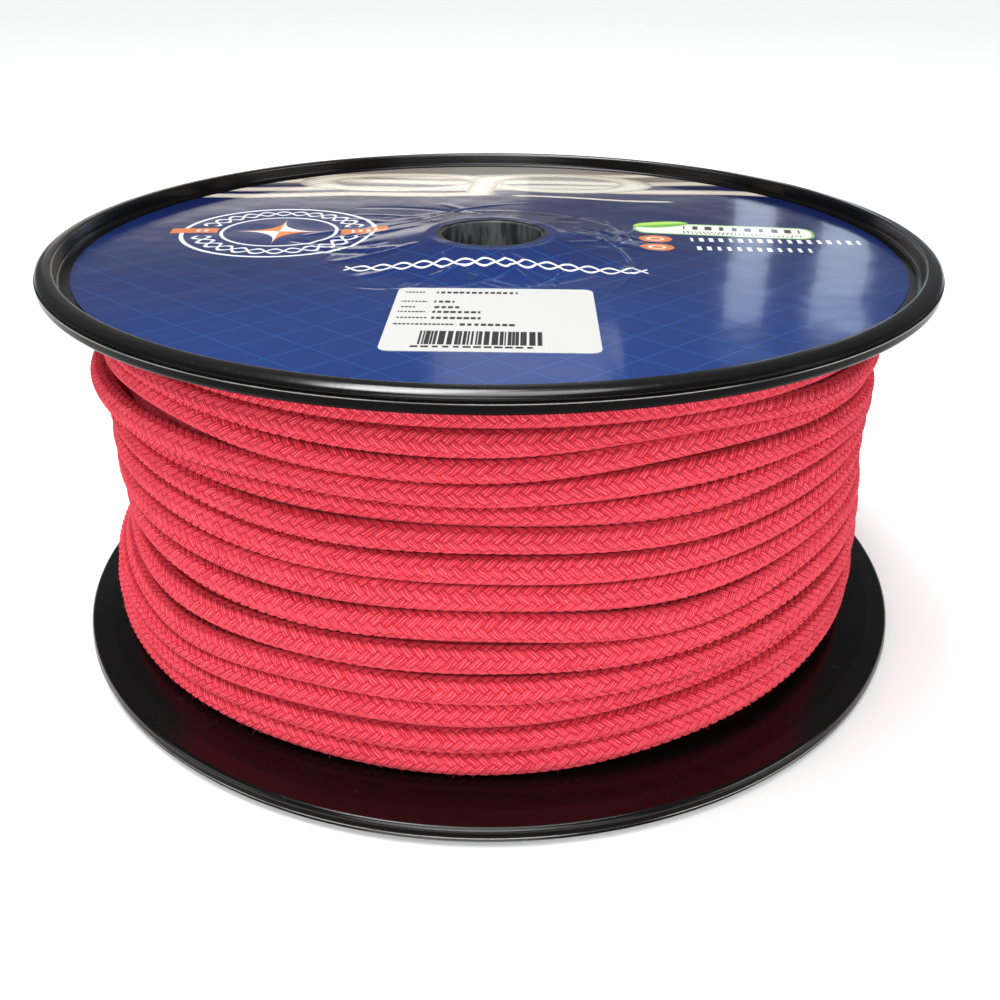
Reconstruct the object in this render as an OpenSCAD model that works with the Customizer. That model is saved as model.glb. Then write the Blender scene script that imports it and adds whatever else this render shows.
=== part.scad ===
// Plastic rope reel wound with one length of braided rope.
// The reel stands on one flange: +Z runs up along its axis, z = 0 is the plane it rests on.

/* [Reel] */
// Outer diameter of both flanges
flange_d = 310; // [240:1:400]
// Clear width between the inner faces of the flanges
inner_w = 123.4; // [80:0.1:180]
// Thickness of the flange discs
web_t = 2.6; // [1.5:0.1:5]
// Height of the rim crown above the outer face of its disc
rim_h = 5.7; // [3:0.1:12]
// Radial width of the rim bead
rim_w = 6.2; // [5:0.1:12]
// Width of the flat ring on top of the rim, which the reel rests on
crown_w = 1.4; // [0.5:0.1:3]

/* [Barrel and hub] */
// Outer diameter of the barrel that the rope is wound on
barrel_d = 100; // [70:1:150]
// Wall of the barrel tube
barrel_t = 3; // [2:0.1:5]
// Depth of the hub pocket below the outer face of a flange
pocket_depth = 7; // [3:0.5:15]
// Wall of the spigot that locates the barrel
spigot_t = 2.5; // [1.5:0.1:4]
// Number of ribs across the hub pocket
ribs = 8; // [4:4:12]
// Thickness of those ribs
rib_t = 2.2; // [1.2:0.1:4]

/* [Arbor] */
// Diameter of the bore that takes a dispenser spindle
bore_d = 36; // [20:1:45]
// Wall of the arbor tube
arbor_t = 2.5; // [1.5:0.1:4]
// Wall of the hub sleeve round the arbor tube
sleeve_t = 3; // [2:0.1:5]
// How far the ends of the arbor tube lie below the rim crowns
arbor_drop = 1.2; // [0.5:0.1:4]

/* [Fasteners] */
// Number of tie bolts
ties = 4; // [2:1:4]
// Thread diameter of the tie bolts
tie_d = 5; // [3:0.5:6]

/* [Rope] */
// Nominal diameter of the rope
rope_d = 8; // [6:0.5:12]
// Depth of bare flange that stays outside the winding
edge_gap = 16.5; // [8:0.5:40]

/* [Labels] */
// Thickness of the printed face label
face_label_t = 0.3; // [0.1:0.05:0.6]
// Gap between the face label and the foot of the rim
face_label_gap = 4.5; // [1:0.1:10]
// Width of the stock label
stock_w = 61.5; // [40:0.5:90]
// Height of the stock label
stock_h = 58; // [35:0.5:70]
// Thickness of the stock label
stock_t = 0.15; // [0.1:0.05:0.4]
// Distance from the reel's axis to the centre of the stock label
stock_off = 84; // [70:1:100]

/* [Hidden] */
$fn = 96;

// Reel levels and radii
flange_r = flange_d / 2;
web_z = rim_h;                          // outer face of the bottom disc
deck_z = rim_h + web_t;                 // its inner face, where the winding starts
total_h = inner_w + 2 * deck_z;
floor_z = web_z + pocket_depth;         // outer face of the pocket floor
floor_t = web_t;
foot_r = flange_r - rim_w;              // inner wall of the rim
fit = 0.15;                             // clearance of parts that slide together
barrel_r = barrel_d / 2;
spigot_r = barrel_r - barrel_t - fit;
bore_r = bore_d / 2;
arbor_r = bore_r + arbor_t;
sleeve_r = arbor_r + fit + sleeve_t;
sleeve_drop = arbor_drop + 0.6;
rib_drop = 1.2;                         // ribs stop this far below the disc face

// Tie bolts between the pocket floors
tie_r = (sleeve_r + spigot_r - spigot_t) / 2;
tie_hole_r = tie_d / 2 + 0.25;
washer_r = tie_d * 1.0;
washer_t = 1;
head_r = tie_d * 0.92;
head_t = tie_d * 0.62;
nut_af = tie_d * 1.6;
nut_t = tie_d * 0.8;
tie_turn = 180 / ribs;                  // puts each bolt midway between two ribs

// Winding: the rope is pressed a little flat, wide along the axis
turns = floor(inner_w / (rope_d * 1.15));
turn_pitch = inner_w / turns;
outer_turns = turns + 1;                // the last layer is packed one turn tighter
outer_pitch = inner_w / outer_turns;
rope_t = rope_d * 0.9125;
layer_pitch = rope_d * 0.84;
layers = 1 + floor((flange_r - edge_gap - barrel_r - rope_t) / layer_pitch);
wound_r = barrel_r + rope_t + (layers - 1) * layer_pitch;
inner_layers = round(layers * 0.62);
middle_layers = layers - inner_layers - 1;
inner_r = barrel_r + rope_t / 2 + (inner_layers - 0.5) * layer_pitch;
middle_r = inner_r + middle_layers * layer_pitch;

// Start of the rope, behind a hole in the barrel wall
start_a = tie_turn + 180 / ties;        // midway between two bolts
start_z = deck_z + 1.5 * turn_pitch;
start_hole_r = rope_d / 2 + 0.6;
knot_r = rope_d * 0.8;
knot_x = barrel_r - barrel_t - knot_r - rope_d / 2 - 1;

// Strip of tape over the free end of the rope
tape_mid = 90;
tape_w = 44;
tape_a = 26;
tape_t = 0.3;
tape_z = deck_z + 1.2;

// Labels
face_label_r = foot_r - face_label_gap;
face_z = total_h - web_z;               // outer face of the top disc
tent_r = stock_off - stock_h / 2 - 1;   // inside this radius the label rises to the hub
label_hole_r = bore_r + 0.4;
label_top_z = total_h - arbor_drop + 0.1;
stock_turn = -1.9;
stock_corner = 3;

// Points of an arc about c from angle a to angle b
function arc(c, r, a, b, n = 5) =
    [for (i = [0 : n]) c + r * [cos(a + (b - a) * i / n), sin(a + (b - a) * i / n)]];

// Half section of the rim bead and disc of the bottom flange
module flange_section() {
    crown_r = foot_r + 0.9;
    lip = min(3.6, rim_w - 0.9 - crown_w);
    band_z = 1.2;
    under = min(3.4, deck_z - band_z - 2);
    polygon(concat(
        [[spigot_r - spigot_t, web_z], [foot_r - 1.2, web_z]],
        arc([foot_r - 1.2, web_z - 1.2], 1.2, 90, 0, 4),
        arc([crown_r, 0.9], 0.9, 180, 270, 4),
        [[crown_r + crown_w, 0]],
        [for (i = [1 : 4]) [crown_r + crown_w + lip * sin(i * 22.5), band_z * (1 - cos(i * 22.5))]],
        arc([flange_r - under, deck_z - under], under, 0, 90, 6),
        [[spigot_r - spigot_t, deck_z]]
    ));
}

module hub_section() {
    // spigot wall and pocket floor
    translate([spigot_r - spigot_t, web_z]) square([spigot_t, floor_z + floor_t - web_z]);
    translate([arbor_r + fit, floor_z]) square([spigot_r - arbor_r - fit, floor_t]);
    // sleeve round the arbor tube
    translate([arbor_r + fit, sleeve_drop]) square([sleeve_t, floor_z + floor_t - sleeve_drop]);
}

module pocket_ribs() {
    rib_x = arbor_r + fit + sleeve_t / 2;
    rib_len = spigot_r - spigot_t / 2 - rib_x;
    for (i = [0 : ribs - 1])
        rotate(i * 360 / ribs)
            translate([rib_x, -rib_t / 2, web_z + rib_drop])
                cube([rib_len, rib_t, floor_z + floor_t - web_z - rib_drop]);
}

module at_ties() {
    for (i = [0 : ties - 1])
        rotate(tie_turn + i * 360 / ties) translate([tie_r, 0, 0]) children();
}

// One moulding, used at both ends of the reel
module flange() {
    difference() {
        union() {
            rotate_extrude() union() { flange_section(); hub_section(); }
            pocket_ribs();
        }
        at_ties() translate([0, 0, floor_z - 1]) cylinder(r = tie_hole_r, h = floor_t + 2);
    }
}

module bottom_flange() { color([0.03, 0.03, 0.035]) flange(); }

module top_flange() {
    color([0.03, 0.03, 0.035]) translate([0, 0, total_h]) mirror([0, 0, 1]) flange();
}

module barrel() {
    color([0.06, 0.06, 0.065])
    difference() {
        translate([0, 0, deck_z]) cylinder(r = barrel_r, h = inner_w);
        translate([0, 0, deck_z - 1]) cylinder(r = barrel_r - barrel_t, h = inner_w + 2);
        rotate(start_a) translate([barrel_r - 2 * barrel_t, 0, start_z])
            rotate([0, 90, 0]) cylinder(r = start_hole_r, h = 4 * barrel_t);
    }
}

module arbor_tube() {
    color([0.05, 0.05, 0.05])
    translate([0, 0, arbor_drop])
    difference() {
        cylinder(r = arbor_r, h = total_h - 2 * arbor_drop);
        translate([0, 0, -1]) cylinder(r = bore_r, h = total_h);
    }
}

// Pan head screws from the top pocket down to nuts in the bottom pocket
module tie_bolts() {
    shank_end = floor_z - washer_t - nut_t - 1.5;
    head_z = total_h - floor_z + washer_t;
    color([0.7, 0.71, 0.72])
    at_ties() difference() {
        union() {
            translate([0, 0, shank_end]) cylinder(r = tie_d / 2, h = head_z - shank_end);
            translate([0, 0, head_z]) cylinder(r1 = head_r, r2 = head_r * 0.8, h = head_t);
        }
        for (a = [0, 90]) rotate(a)
            translate([-head_r * 0.5, -0.5, head_z + head_t * 0.4]) cube([head_r, 1, head_t]);
    }
}

module tie_washers() {
    color([0.75, 0.75, 0.76])
    for (z = [floor_z - washer_t, total_h - floor_z])
        at_ties() translate([0, 0, z]) difference() {
            cylinder(r = washer_r, h = washer_t);
            translate([0, 0, -1]) cylinder(r = tie_hole_r, h = washer_t + 2);
        }
}

module tie_nuts() {
    color([0.72, 0.72, 0.74])
    at_ties() translate([0, 0, floor_z - washer_t - nut_t]) difference() {
        cylinder(r = nut_af / sqrt(3), h = nut_t, $fn = 6);
        translate([0, 0, -1]) cylinder(r = tie_d / 2, h = nut_t + 2);
    }
}

// A block of layers between two radii
module winding(r_in, r_out) {
    color([0.80, 0.10, 0.16])
    translate([0, 0, deck_z])
    difference() {
        cylinder(r = r_out, h = inner_w);
        translate([0, 0, -1]) cylinder(r = r_in, h = inner_w + 2);
    }
}

module rope_inner_layers() { winding(barrel_r, inner_r); }

module rope_middle_layers() { winding(inner_r, middle_r); }

// The last layer shows its turns one by one
module rope_outer_layer() {
    turn_r = outer_pitch / 2;
    color([0.86, 0.14, 0.20])
    rotate_extrude() union() {
        translate([middle_r, deck_z]) square([wound_r - turn_r - middle_r + 0.6, inner_w]);
        intersection() {
            translate([middle_r, deck_z]) square([wound_r, inner_w]);
            union() {
                for (i = [0 : outer_turns - 1])
                    translate([wound_r - turn_r, deck_z + (i + 0.5) * outer_pitch]) circle(r = turn_r);
            }
        }
    }
}

// Stopper knot inside the barrel, with the stub of rope that goes out through the wall
module start_knot() {
    color([0.80, 0.10, 0.16])
    rotate(start_a) translate([knot_x, 0, start_z]) union() {
        rotate_extrude() translate([knot_r, 0]) circle(r = rope_d / 2);
        cylinder(r = knot_r, h = rope_d * 0.8, center = true);
        rotate([0, 90, 0]) cylinder(r = rope_d / 2, h = barrel_r - knot_x - 0.2);
    }
}

module end_tape() {
    color([0.82, 0.80, 0.74])
    rotate(tape_mid - tape_a / 2) translate([0, 0, tape_z])
        rotate_extrude(angle = tape_a) translate([wound_r + 0.05, 0]) square([tape_t, tape_w]);
}

module face_label() {
    section = [
        [face_label_r, face_z], [tent_r, face_z],
        [sleeve_r, label_top_z], [label_hole_r, label_top_z]
    ];
    top = [for (i = [3 : -1 : 0]) section[i] + [0, face_label_t]];
    color([0.05, 0.12, 0.42]) rotate_extrude() polygon(concat(section, top));
}

module stock_label() {
    side_w = stock_w - 2 * stock_corner;
    side_h = stock_h - 2 * stock_corner;
    color([0.95, 0.95, 0.94])
    translate([0.5, -stock_off, face_z + face_label_t]) rotate(stock_turn)
        linear_extrude(stock_t) union() {
            square([stock_w, side_h], center = true);
            square([side_w, stock_h], center = true);
            for (x = [-side_w / 2, side_w / 2], y = [-side_h / 2, side_h / 2])
                translate([x, y]) circle(r = stock_corner, $fn = 32);
        }
}

bottom_flange();
top_flange();
barrel();
arbor_tube();
tie_bolts();
tie_washers();
tie_nuts();
rope_inner_layers();
rope_middle_layers();
rope_outer_layer();
start_knot();
end_tape();
face_label();
stock_label();
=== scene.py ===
"""Looks of a rope reel: a plastic reel wound with red braided rope."""

import math

import bmesh
import bpy
import numpy as np
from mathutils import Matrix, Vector


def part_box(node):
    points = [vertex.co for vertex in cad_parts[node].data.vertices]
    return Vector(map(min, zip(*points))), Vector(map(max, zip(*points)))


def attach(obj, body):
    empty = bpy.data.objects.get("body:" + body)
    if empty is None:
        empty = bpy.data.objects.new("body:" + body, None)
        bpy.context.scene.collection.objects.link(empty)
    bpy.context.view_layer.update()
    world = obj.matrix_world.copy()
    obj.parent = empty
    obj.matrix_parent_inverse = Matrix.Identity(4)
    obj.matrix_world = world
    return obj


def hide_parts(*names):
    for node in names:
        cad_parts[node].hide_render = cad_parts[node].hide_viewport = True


bl_info = {
    "name": "Rope Reel Looks",
    "version": (1, 0, 0),
    "blender": (4, 5, 0),
    "location": "3D View > Sidebar > Rope Reel",
    "description": "Builds the rope, reel, labels and studio of a wound rope reel",
    "category": "Object",
}

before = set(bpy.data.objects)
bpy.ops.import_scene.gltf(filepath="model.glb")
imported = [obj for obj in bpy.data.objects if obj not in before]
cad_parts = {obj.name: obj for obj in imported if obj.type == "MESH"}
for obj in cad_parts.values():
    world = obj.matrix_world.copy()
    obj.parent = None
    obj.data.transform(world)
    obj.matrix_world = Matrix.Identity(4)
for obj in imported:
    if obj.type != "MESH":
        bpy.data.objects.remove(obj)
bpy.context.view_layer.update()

# ---------------------------------------------------------------- sizes read from the frame
MM = 0.001
BARREL_LOW, BARREL_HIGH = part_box("barrel")
ARBOR_LOW, ARBOR_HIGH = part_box("arbor_tube")
LABEL_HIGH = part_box("face_label")[1]
STOCK_LOW, STOCK_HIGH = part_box("stock_label")
TAPE_LOW, TAPE_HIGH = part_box("end_tape")

FLANGE_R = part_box("bottom_flange")[1].x
TOTAL_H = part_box("top_flange")[1].z
DECK_Z = BARREL_LOW.z
DECK_TOP = BARREL_HIGH.z
WEB_T = 2.6 * MM
WEB_Z = DECK_Z - WEB_T
FOOT_R = FLANGE_R - 6.2 * MM
FLOOR_Z = WEB_Z + 7.0 * MM
BARREL_R = BARREL_HIGH.x
SPIGOT_R = BARREL_R - 3.15 * MM
SPIGOT_T = 2.5 * MM
ARBOR_R = ARBOR_HIGH.x
BORE_R = ARBOR_R - 2.5 * MM
SLEEVE_IN = ARBOR_R + 0.15 * MM
SLEEVE_R = SLEEVE_IN + 3.0 * MM
SLEEVE_DROP = ARBOR_LOW.z + 0.6 * MM
WOUND_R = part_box("rope_outer_layer")[1].x
MIDDLE_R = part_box("rope_middle_layers")[1].x
LABEL_R = LABEL_HIGH.x
LABEL_TOP = LABEL_HIGH.z
LABEL_Z = STOCK_LOW.z
TENT_R = 54.0 * MM
TIE_R = 34.0 * MM
TIE_TURN = math.radians(22.5)
WEB_TOP = TOTAL_H - WEB_Z

ROPE_D = 8.0 * MM
LAYERS = 13
LAYER_PITCH = 6.72 * MM
INNER_TURNS = 14
START_Z = 22.54 * MM
START_TURN = math.radians(67.5)
EMERGE_DEG = 34.0
EMERGE_SINK = LAYER_PITCH * 0.85
OUTER_TURNS = 14
# limits of one turn's width and thickness where its neighbours press on it
TURN_WIDTH = (7.3 * MM, 9.9 * MM)
TURN_THICK = (7.2 * MM, 8.8 * MM)
TURN_AREA = 69.0 * MM * MM
# strands round the rope, and columns of points across one of them
STRANDS = 8
FINE = 3

CAMERA_SHIFT = (-0.0058, -0.0825)
CAMERA_TWIST = (-0.0063, -0.0116)


# ---------------------------------------------------------------- mesh helpers
def link_object(name, data):
    obj = bpy.data.objects.new(name, data)
    bpy.context.scene.collection.objects.link(obj)
    return obj


def new_object(name, mesh, material=None, smooth=True):
    """Links a mesh into the scene as an object at the origin."""
    obj = link_object(name, mesh)
    if material is not None:
        mesh.materials.append(material)
    if smooth:
        mesh.polygons.foreach_set("use_smooth", [True] * len(mesh.polygons))
    mesh.update()
    return obj


def mesh_from(name, verts, faces, uvs=None):
    """Makes a mesh from arrays; uvs holds one pair per face corner."""
    mesh = bpy.data.meshes.new(name)
    verts = np.asarray(verts, dtype=np.float32)
    faces = np.asarray(faces, dtype=np.int32)
    sides = faces.shape[1]
    mesh.vertices.add(len(verts))
    mesh.vertices.foreach_set("co", verts.ravel())
    mesh.loops.add(faces.size)
    mesh.loops.foreach_set("vertex_index", faces.ravel())
    mesh.polygons.add(len(faces))
    mesh.polygons.foreach_set("loop_start", np.arange(0, faces.size, sides, dtype=np.int32))
    mesh.update(calc_edges=True)
    if uvs is not None:
        layer = mesh.uv_layers.new(name="UVMap")
        layer.data.foreach_set("uv", np.asarray(uvs, dtype=np.float32).ravel())
    mesh.validate()
    return mesh


def signed_volume(verts, tris):
    """Volume enclosed by triangles; negative when they face inward."""
    a, b, c = (verts[tris[:, k]] for k in range(3))
    return float(np.einsum("ij,ij->i", a, np.cross(b, c)).sum() / 6.0)


def split_quads(quads):
    return np.concatenate([quads[:, [0, 1, 2]], quads[:, [0, 2, 3]]])


def ring_quads(verts, loops, count):
    """Quads between neighbouring loops of points, closed both ways and facing outward."""
    here = np.arange(loops)[:, None] * count + np.arange(count)[None, :]
    across = np.roll(here, -1, axis=1)
    ahead = np.roll(here, -1, axis=0)
    both = np.roll(ahead, -1, axis=1)
    quads = np.stack([here, ahead, both, across], axis=-1).reshape(-1, 4)
    return quads[:, ::-1] if signed_volume(verts, split_quads(quads)) < 0 else quads


def grid_quads(index):
    quads = [index[:-1, :-1], index[1:, :-1], index[1:, 1:], index[:-1, 1:]]
    return np.stack(quads, axis=-1).reshape(-1, 4)


def slab_quads(rows, columns):
    """Faces of a slab: a grid on top, the same grid below, and a wall all round."""
    size = rows * columns
    index = np.arange(size).reshape(rows, columns)
    face = grid_quads(index)
    rim = np.concatenate([index[:, 0], index[-1, 1:], index[-2::-1, -1], index[0, -2:0:-1]])
    ahead = np.roll(rim, -1)
    wall = np.stack([rim, rim + size, ahead + size, ahead], axis=-1)
    return np.concatenate([face, face[:, ::-1] + size, wall])


def spin_profile(name, profile, segments, material):
    """Turns a closed (radius, height) outline about +Z into a smooth solid ring."""
    outline = np.asarray(profile, dtype=float)
    count = len(outline)
    angle = np.arange(segments) * 2 * math.pi / segments
    ring = np.zeros((segments, count, 3))
    ring[:, :, 0] = np.cos(angle)[:, None] * outline[None, :, 0]
    ring[:, :, 1] = np.sin(angle)[:, None] * outline[None, :, 0]
    ring[:, :, 2] = outline[None, :, 1]
    verts = ring.reshape(-1, 3)
    obj = new_object(name, mesh_from(name, verts, ring_quads(verts, segments, count)), material)
    mark_sharp(obj, 32.0)
    return obj


def dress(obj, node=None):
    """Parents a piece to the reel's one body, and hides the CAD node it stands for."""
    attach(obj, "root")
    if node is not None:
        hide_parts(node)


def walked_length(points):
    """Distance along a line of points at each of them."""
    return np.concatenate([[0.0], np.cumsum(np.linalg.norm(np.diff(points, axis=0), axis=1))])


def mark_sharp(obj, degrees):
    """Keeps edges crisp where faces meet at more than this angle."""
    obj.data.set_sharp_from_angle(angle=math.radians(degrees))


def fillet(points, radius, steps=4):
    """Rounds every corner of a closed outline by up to the radius."""
    pts = [Vector((p[0], p[1])) for p in points]
    out = []
    for k, corner in enumerate(pts):
        before = pts[k - 1] - corner
        after = pts[(k + 1) % len(pts)] - corner
        reach = min(radius, 0.42 * before.length, 0.42 * after.length)
        start = corner + before.normalized() * reach
        end = corner + after.normalized() * reach
        for i in range(steps + 1):
            f = i / steps
            out.append((start * (1 - f) ** 2 + corner * 2 * f * (1 - f) + end * f * f)[:])
    return out


def catmull(knots, values, where):
    """Smooth curve through given values at increasing knots."""
    knots = np.asarray(knots, dtype=float)
    values = np.asarray(values, dtype=float)
    slope = np.gradient(values, knots)
    k = np.clip(np.searchsorted(knots, where) - 1, 0, len(knots) - 2)
    span = knots[k + 1] - knots[k]
    f = np.clip((where - knots[k]) / span, 0, 1)
    h00 = 2 * f ** 3 - 3 * f ** 2 + 1
    h10 = f ** 3 - 2 * f ** 2 + f
    h01 = -2 * f ** 3 + 3 * f ** 2
    h11 = f ** 3 - f ** 2
    return h00 * values[k] + h10 * span * slope[k] + h01 * values[k + 1] + h11 * span * slope[k + 1]


# ---------------------------------------------------------------- material helpers
class Value:
    """A number in a shader pattern; arithmetic on it adds Math nodes."""

    def __init__(self, tree, socket):
        self.tree = tree
        self.socket = socket

    def math(self, operation, *others):
        node = self.tree.nodes.new("ShaderNodeMath")
        node.operation = operation
        self.tree.links.new(self.socket, node.inputs[0])
        for slot, other in enumerate(others, start=1):
            if isinstance(other, Value):
                self.tree.links.new(other.socket, node.inputs[slot])
            else:
                node.inputs[slot].default_value = other
        return Value(self.tree, node.outputs[0])

    def __add__(self, other):
        return self.math("ADD", other)

    def __sub__(self, other):
        return self.math("SUBTRACT", other)

    def __mul__(self, other):
        return self.math("MULTIPLY", other)

    def __truediv__(self, other):
        return self.math("DIVIDE", other)

    __radd__ = __add__
    __rmul__ = __mul__

    def __rsub__(self, other):
        return self.math("MULTIPLY", -1.0).math("ADD", other)

    def below(self, limit, soft):
        """1 where the value is under the limit, 0 above it, with a soft edge."""
        node = self.tree.nodes.new("ShaderNodeMapRange")
        node.interpolation_type = "SMOOTHSTEP"
        self.tree.links.new(self.socket, node.inputs["Value"])
        node.inputs["From Min"].default_value = limit - soft
        node.inputs["From Max"].default_value = limit + soft
        node.inputs["To Min"].default_value = 1.0
        node.inputs["To Max"].default_value = 0.0
        return Value(self.tree, node.outputs["Result"])

    def above(self, limit, soft):
        return 1.0 - self.below(limit, soft)

    def absolute(self):
        return self.math("ABSOLUTE")

    def floor(self):
        return self.math("FLOOR")

    def fraction(self):
        return self.math("FLOORED_MODULO", 1.0)

    def wave(self):
        """Sine of the value taken in whole turns."""
        return (self * (2 * math.pi)).math("SINE")

    def most(self, other):
        return self.math("MAXIMUM", other)

    def least(self, other):
        return self.math("MINIMUM", other)


class Pattern:
    """A material with its shader nodes, and short ways to add more."""

    def __init__(self, name):
        self.material = bpy.data.materials.new(name)
        self.material.use_nodes = True
        self.tree = self.material.node_tree
        self.shader = self.tree.nodes["Principled BSDF"]

    def source(self, output):
        """X, Y and Z of the object coordinates or the UV map."""
        coords = self.tree.nodes.new("ShaderNodeTexCoord")
        split = self.tree.nodes.new("ShaderNodeSeparateXYZ")
        self.tree.links.new(coords.outputs[output], split.inputs[0])
        return [Value(self.tree, s) for s in split.outputs]

    def attribute(self, name):
        node = self.tree.nodes.new("ShaderNodeAttribute")
        node.attribute_name = name
        return Value(self.tree, node.outputs["Fac"])

    def combine(self, *parts):
        node = self.tree.nodes.new("ShaderNodeCombineXYZ")
        for slot, part in enumerate(parts):
            if isinstance(part, Value):
                self.tree.links.new(part.socket, node.inputs[slot])
            else:
                node.inputs[slot].default_value = part
        return node.outputs[0]

    def noise(self, vector, scale, detail=2.0, roughness=0.5):
        node = self.tree.nodes.new("ShaderNodeTexNoise")
        node.inputs["Scale"].default_value = scale
        node.inputs["Detail"].default_value = detail
        node.inputs["Roughness"].default_value = roughness
        if vector is not None:
            self.tree.links.new(vector, node.inputs["Vector"])
        return Value(self.tree, node.outputs[0])

    def hashed(self, vector):
        node = self.tree.nodes.new("ShaderNodeTexWhiteNoise")
        node.noise_dimensions = "3D"
        self.tree.links.new(vector, node.inputs["Vector"])
        return Value(self.tree, node.outputs["Value"])

    def blend(self, factor, low, high):
        """Colour between low and high, each a colour or a socket."""
        node = self.tree.nodes.new("ShaderNodeMix")
        node.data_type = "RGBA"
        self.tree.links.new(factor.socket, node.inputs["Factor"])
        for slot, part in (("A", low), ("B", high)):
            socket = [s for s in node.inputs if s.name == slot and s.type == "RGBA"][0]
            if isinstance(part, (tuple, list)):
                socket.default_value = (*part, 1.0)
            else:
                self.tree.links.new(part, socket)
        return [s for s in node.outputs if s.type == "RGBA"][0]

    def ramp(self, factor, stops):
        node = self.tree.nodes.new("ShaderNodeValToRGB")
        self.tree.links.new(factor.socket, node.inputs[0])
        elements = node.color_ramp.elements
        while len(elements) < len(stops):
            elements.new(0.5)
        for element, (place, colour) in zip(elements, stops):
            element.position = place
            element.color = (*colour, 1.0)
        return node.outputs[0]

    def bump(self, height, distance, strength=1.0):
        node = self.tree.nodes.new("ShaderNodeBump")
        node.inputs["Distance"].default_value = distance
        node.inputs["Strength"].default_value = strength
        self.tree.links.new(height.socket, node.inputs["Height"])
        return node.outputs[0]

    def set(self, **inputs):
        """Sets shader inputs by name, with _ for a space; a socket or Value is linked."""
        for key, part in inputs.items():
            socket = self.shader.inputs[key.replace("_", " ")]
            if isinstance(part, Value):
                self.tree.links.new(part.socket, socket)
            elif isinstance(part, bpy.types.NodeSocket):
                self.tree.links.new(part, socket)
            elif isinstance(part, tuple):
                socket.default_value = (*part, 1.0)
            else:
                socket.default_value = part
        return self.material


# ---------------------------------------------------------------- settings
class RopeReelStage(bpy.types.PropertyGroup):
    lens: bpy.props.FloatProperty(
        name="Lens", description="Focal length of the camera, in mm", default=40.03)
    distance: bpy.props.FloatProperty(
        name="Distance", description="Camera's distance in front of the axis",
        default=0.39593, unit="LENGTH")
    height: bpy.props.FloatProperty(
        name="Height", description="Camera's height above the floor", default=0.23938, unit="LENGTH")
    pitch: bpy.props.FloatProperty(
        name="Pitch", description="How far the camera looks down", default=0.41317,
        subtype="ANGLE", unit="ROTATION")
    key: bpy.props.FloatProperty(
        name="Key Light", description="Strength of the broad key light", default=2.1)
    top: bpy.props.FloatProperty(
        name="Top Light", description="Strength of the broad light from above", default=1.7)
    fill: bpy.props.FloatProperty(
        name="Fill Light", description="Power of the front fill light, in watts", default=5.0)
    overhead: bpy.props.FloatProperty(
        name="Overhead Light", description="Power of the softbox above the reel, in watts", default=16.0)
    sky: bpy.props.FloatProperty(
        name="Sky", description="Brightness of the even light all round", default=0.14)
    window: bpy.props.FloatProperty(
        name="Window", description="Power of each tall strip behind the reel, in watts", default=0.22)


class RopeReelRope(bpy.types.PropertyGroup):
    colour: bpy.props.FloatVectorProperty(
        name="Yarn Colour", description="Colour of the yarn on the crowns of the braid",
        default=(0.80, 0.024, 0.052), size=3, subtype="COLOR", min=0.0, max=1.0)
    # painted shade: the colour deep in the gaps between strands
    gap_shade_colour: bpy.props.FloatVectorProperty(
        name="Gap Colour", description="Colour deep between the strands",
        default=(0.30, 0.003, 0.012), size=3, subtype="COLOR", min=0.0, max=1.0)
    crest_colour: bpy.props.FloatVectorProperty(
        name="Crest Colour", description="Colour where light catches the top of a yarn",
        default=(0.95, 0.17, 0.22), size=3, subtype="COLOR", min=0.0, max=1.0)
    repeat: bpy.props.FloatProperty(
        name="Braid Repeat", description="Length of rope in which the braid pattern repeats",
        default=3.5 * MM, unit="LENGTH")
    fuzz: bpy.props.FloatProperty(
        name="Fuzz", description="Loose fibres on each square metre of rope", default=34000.0, min=0.0)
    relief: bpy.props.FloatProperty(
        name="Relief", description="Height of a strand above the gap beside it",
        default=0.56 * MM, unit="LENGTH")


class RopeReelPlastic(bpy.types.PropertyGroup):
    colour: bpy.props.FloatVectorProperty(
        name="Plastic Colour", description="Colour of the reel's plastic",
        default=(0.0020, 0.0016, 0.0016), size=3, subtype="COLOR", min=0.0, max=1.0)
    roughness: bpy.props.FloatProperty(
        name="Roughness", description="Roughness of the moulded surface", default=0.16,
        min=0.0, max=1.0)


class RopeReelLabel(bpy.types.PropertyGroup):
    navy: bpy.props.FloatVectorProperty(
        name="Dark Blue", description="Darker blue of the print",
        default=(0.0050, 0.0090, 0.056), size=3, subtype="COLOR", min=0.0, max=1.0)
    blue: bpy.props.FloatVectorProperty(
        name="Light Blue", description="Lighter blue of the print",
        default=(0.0062, 0.034, 0.172), size=3, subtype="COLOR", min=0.0, max=1.0)
    crease: bpy.props.FloatProperty(
        name="Crease Height", description="Height of the film's creases round the hub",
        default=0.55 * MM, unit="LENGTH")


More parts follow.
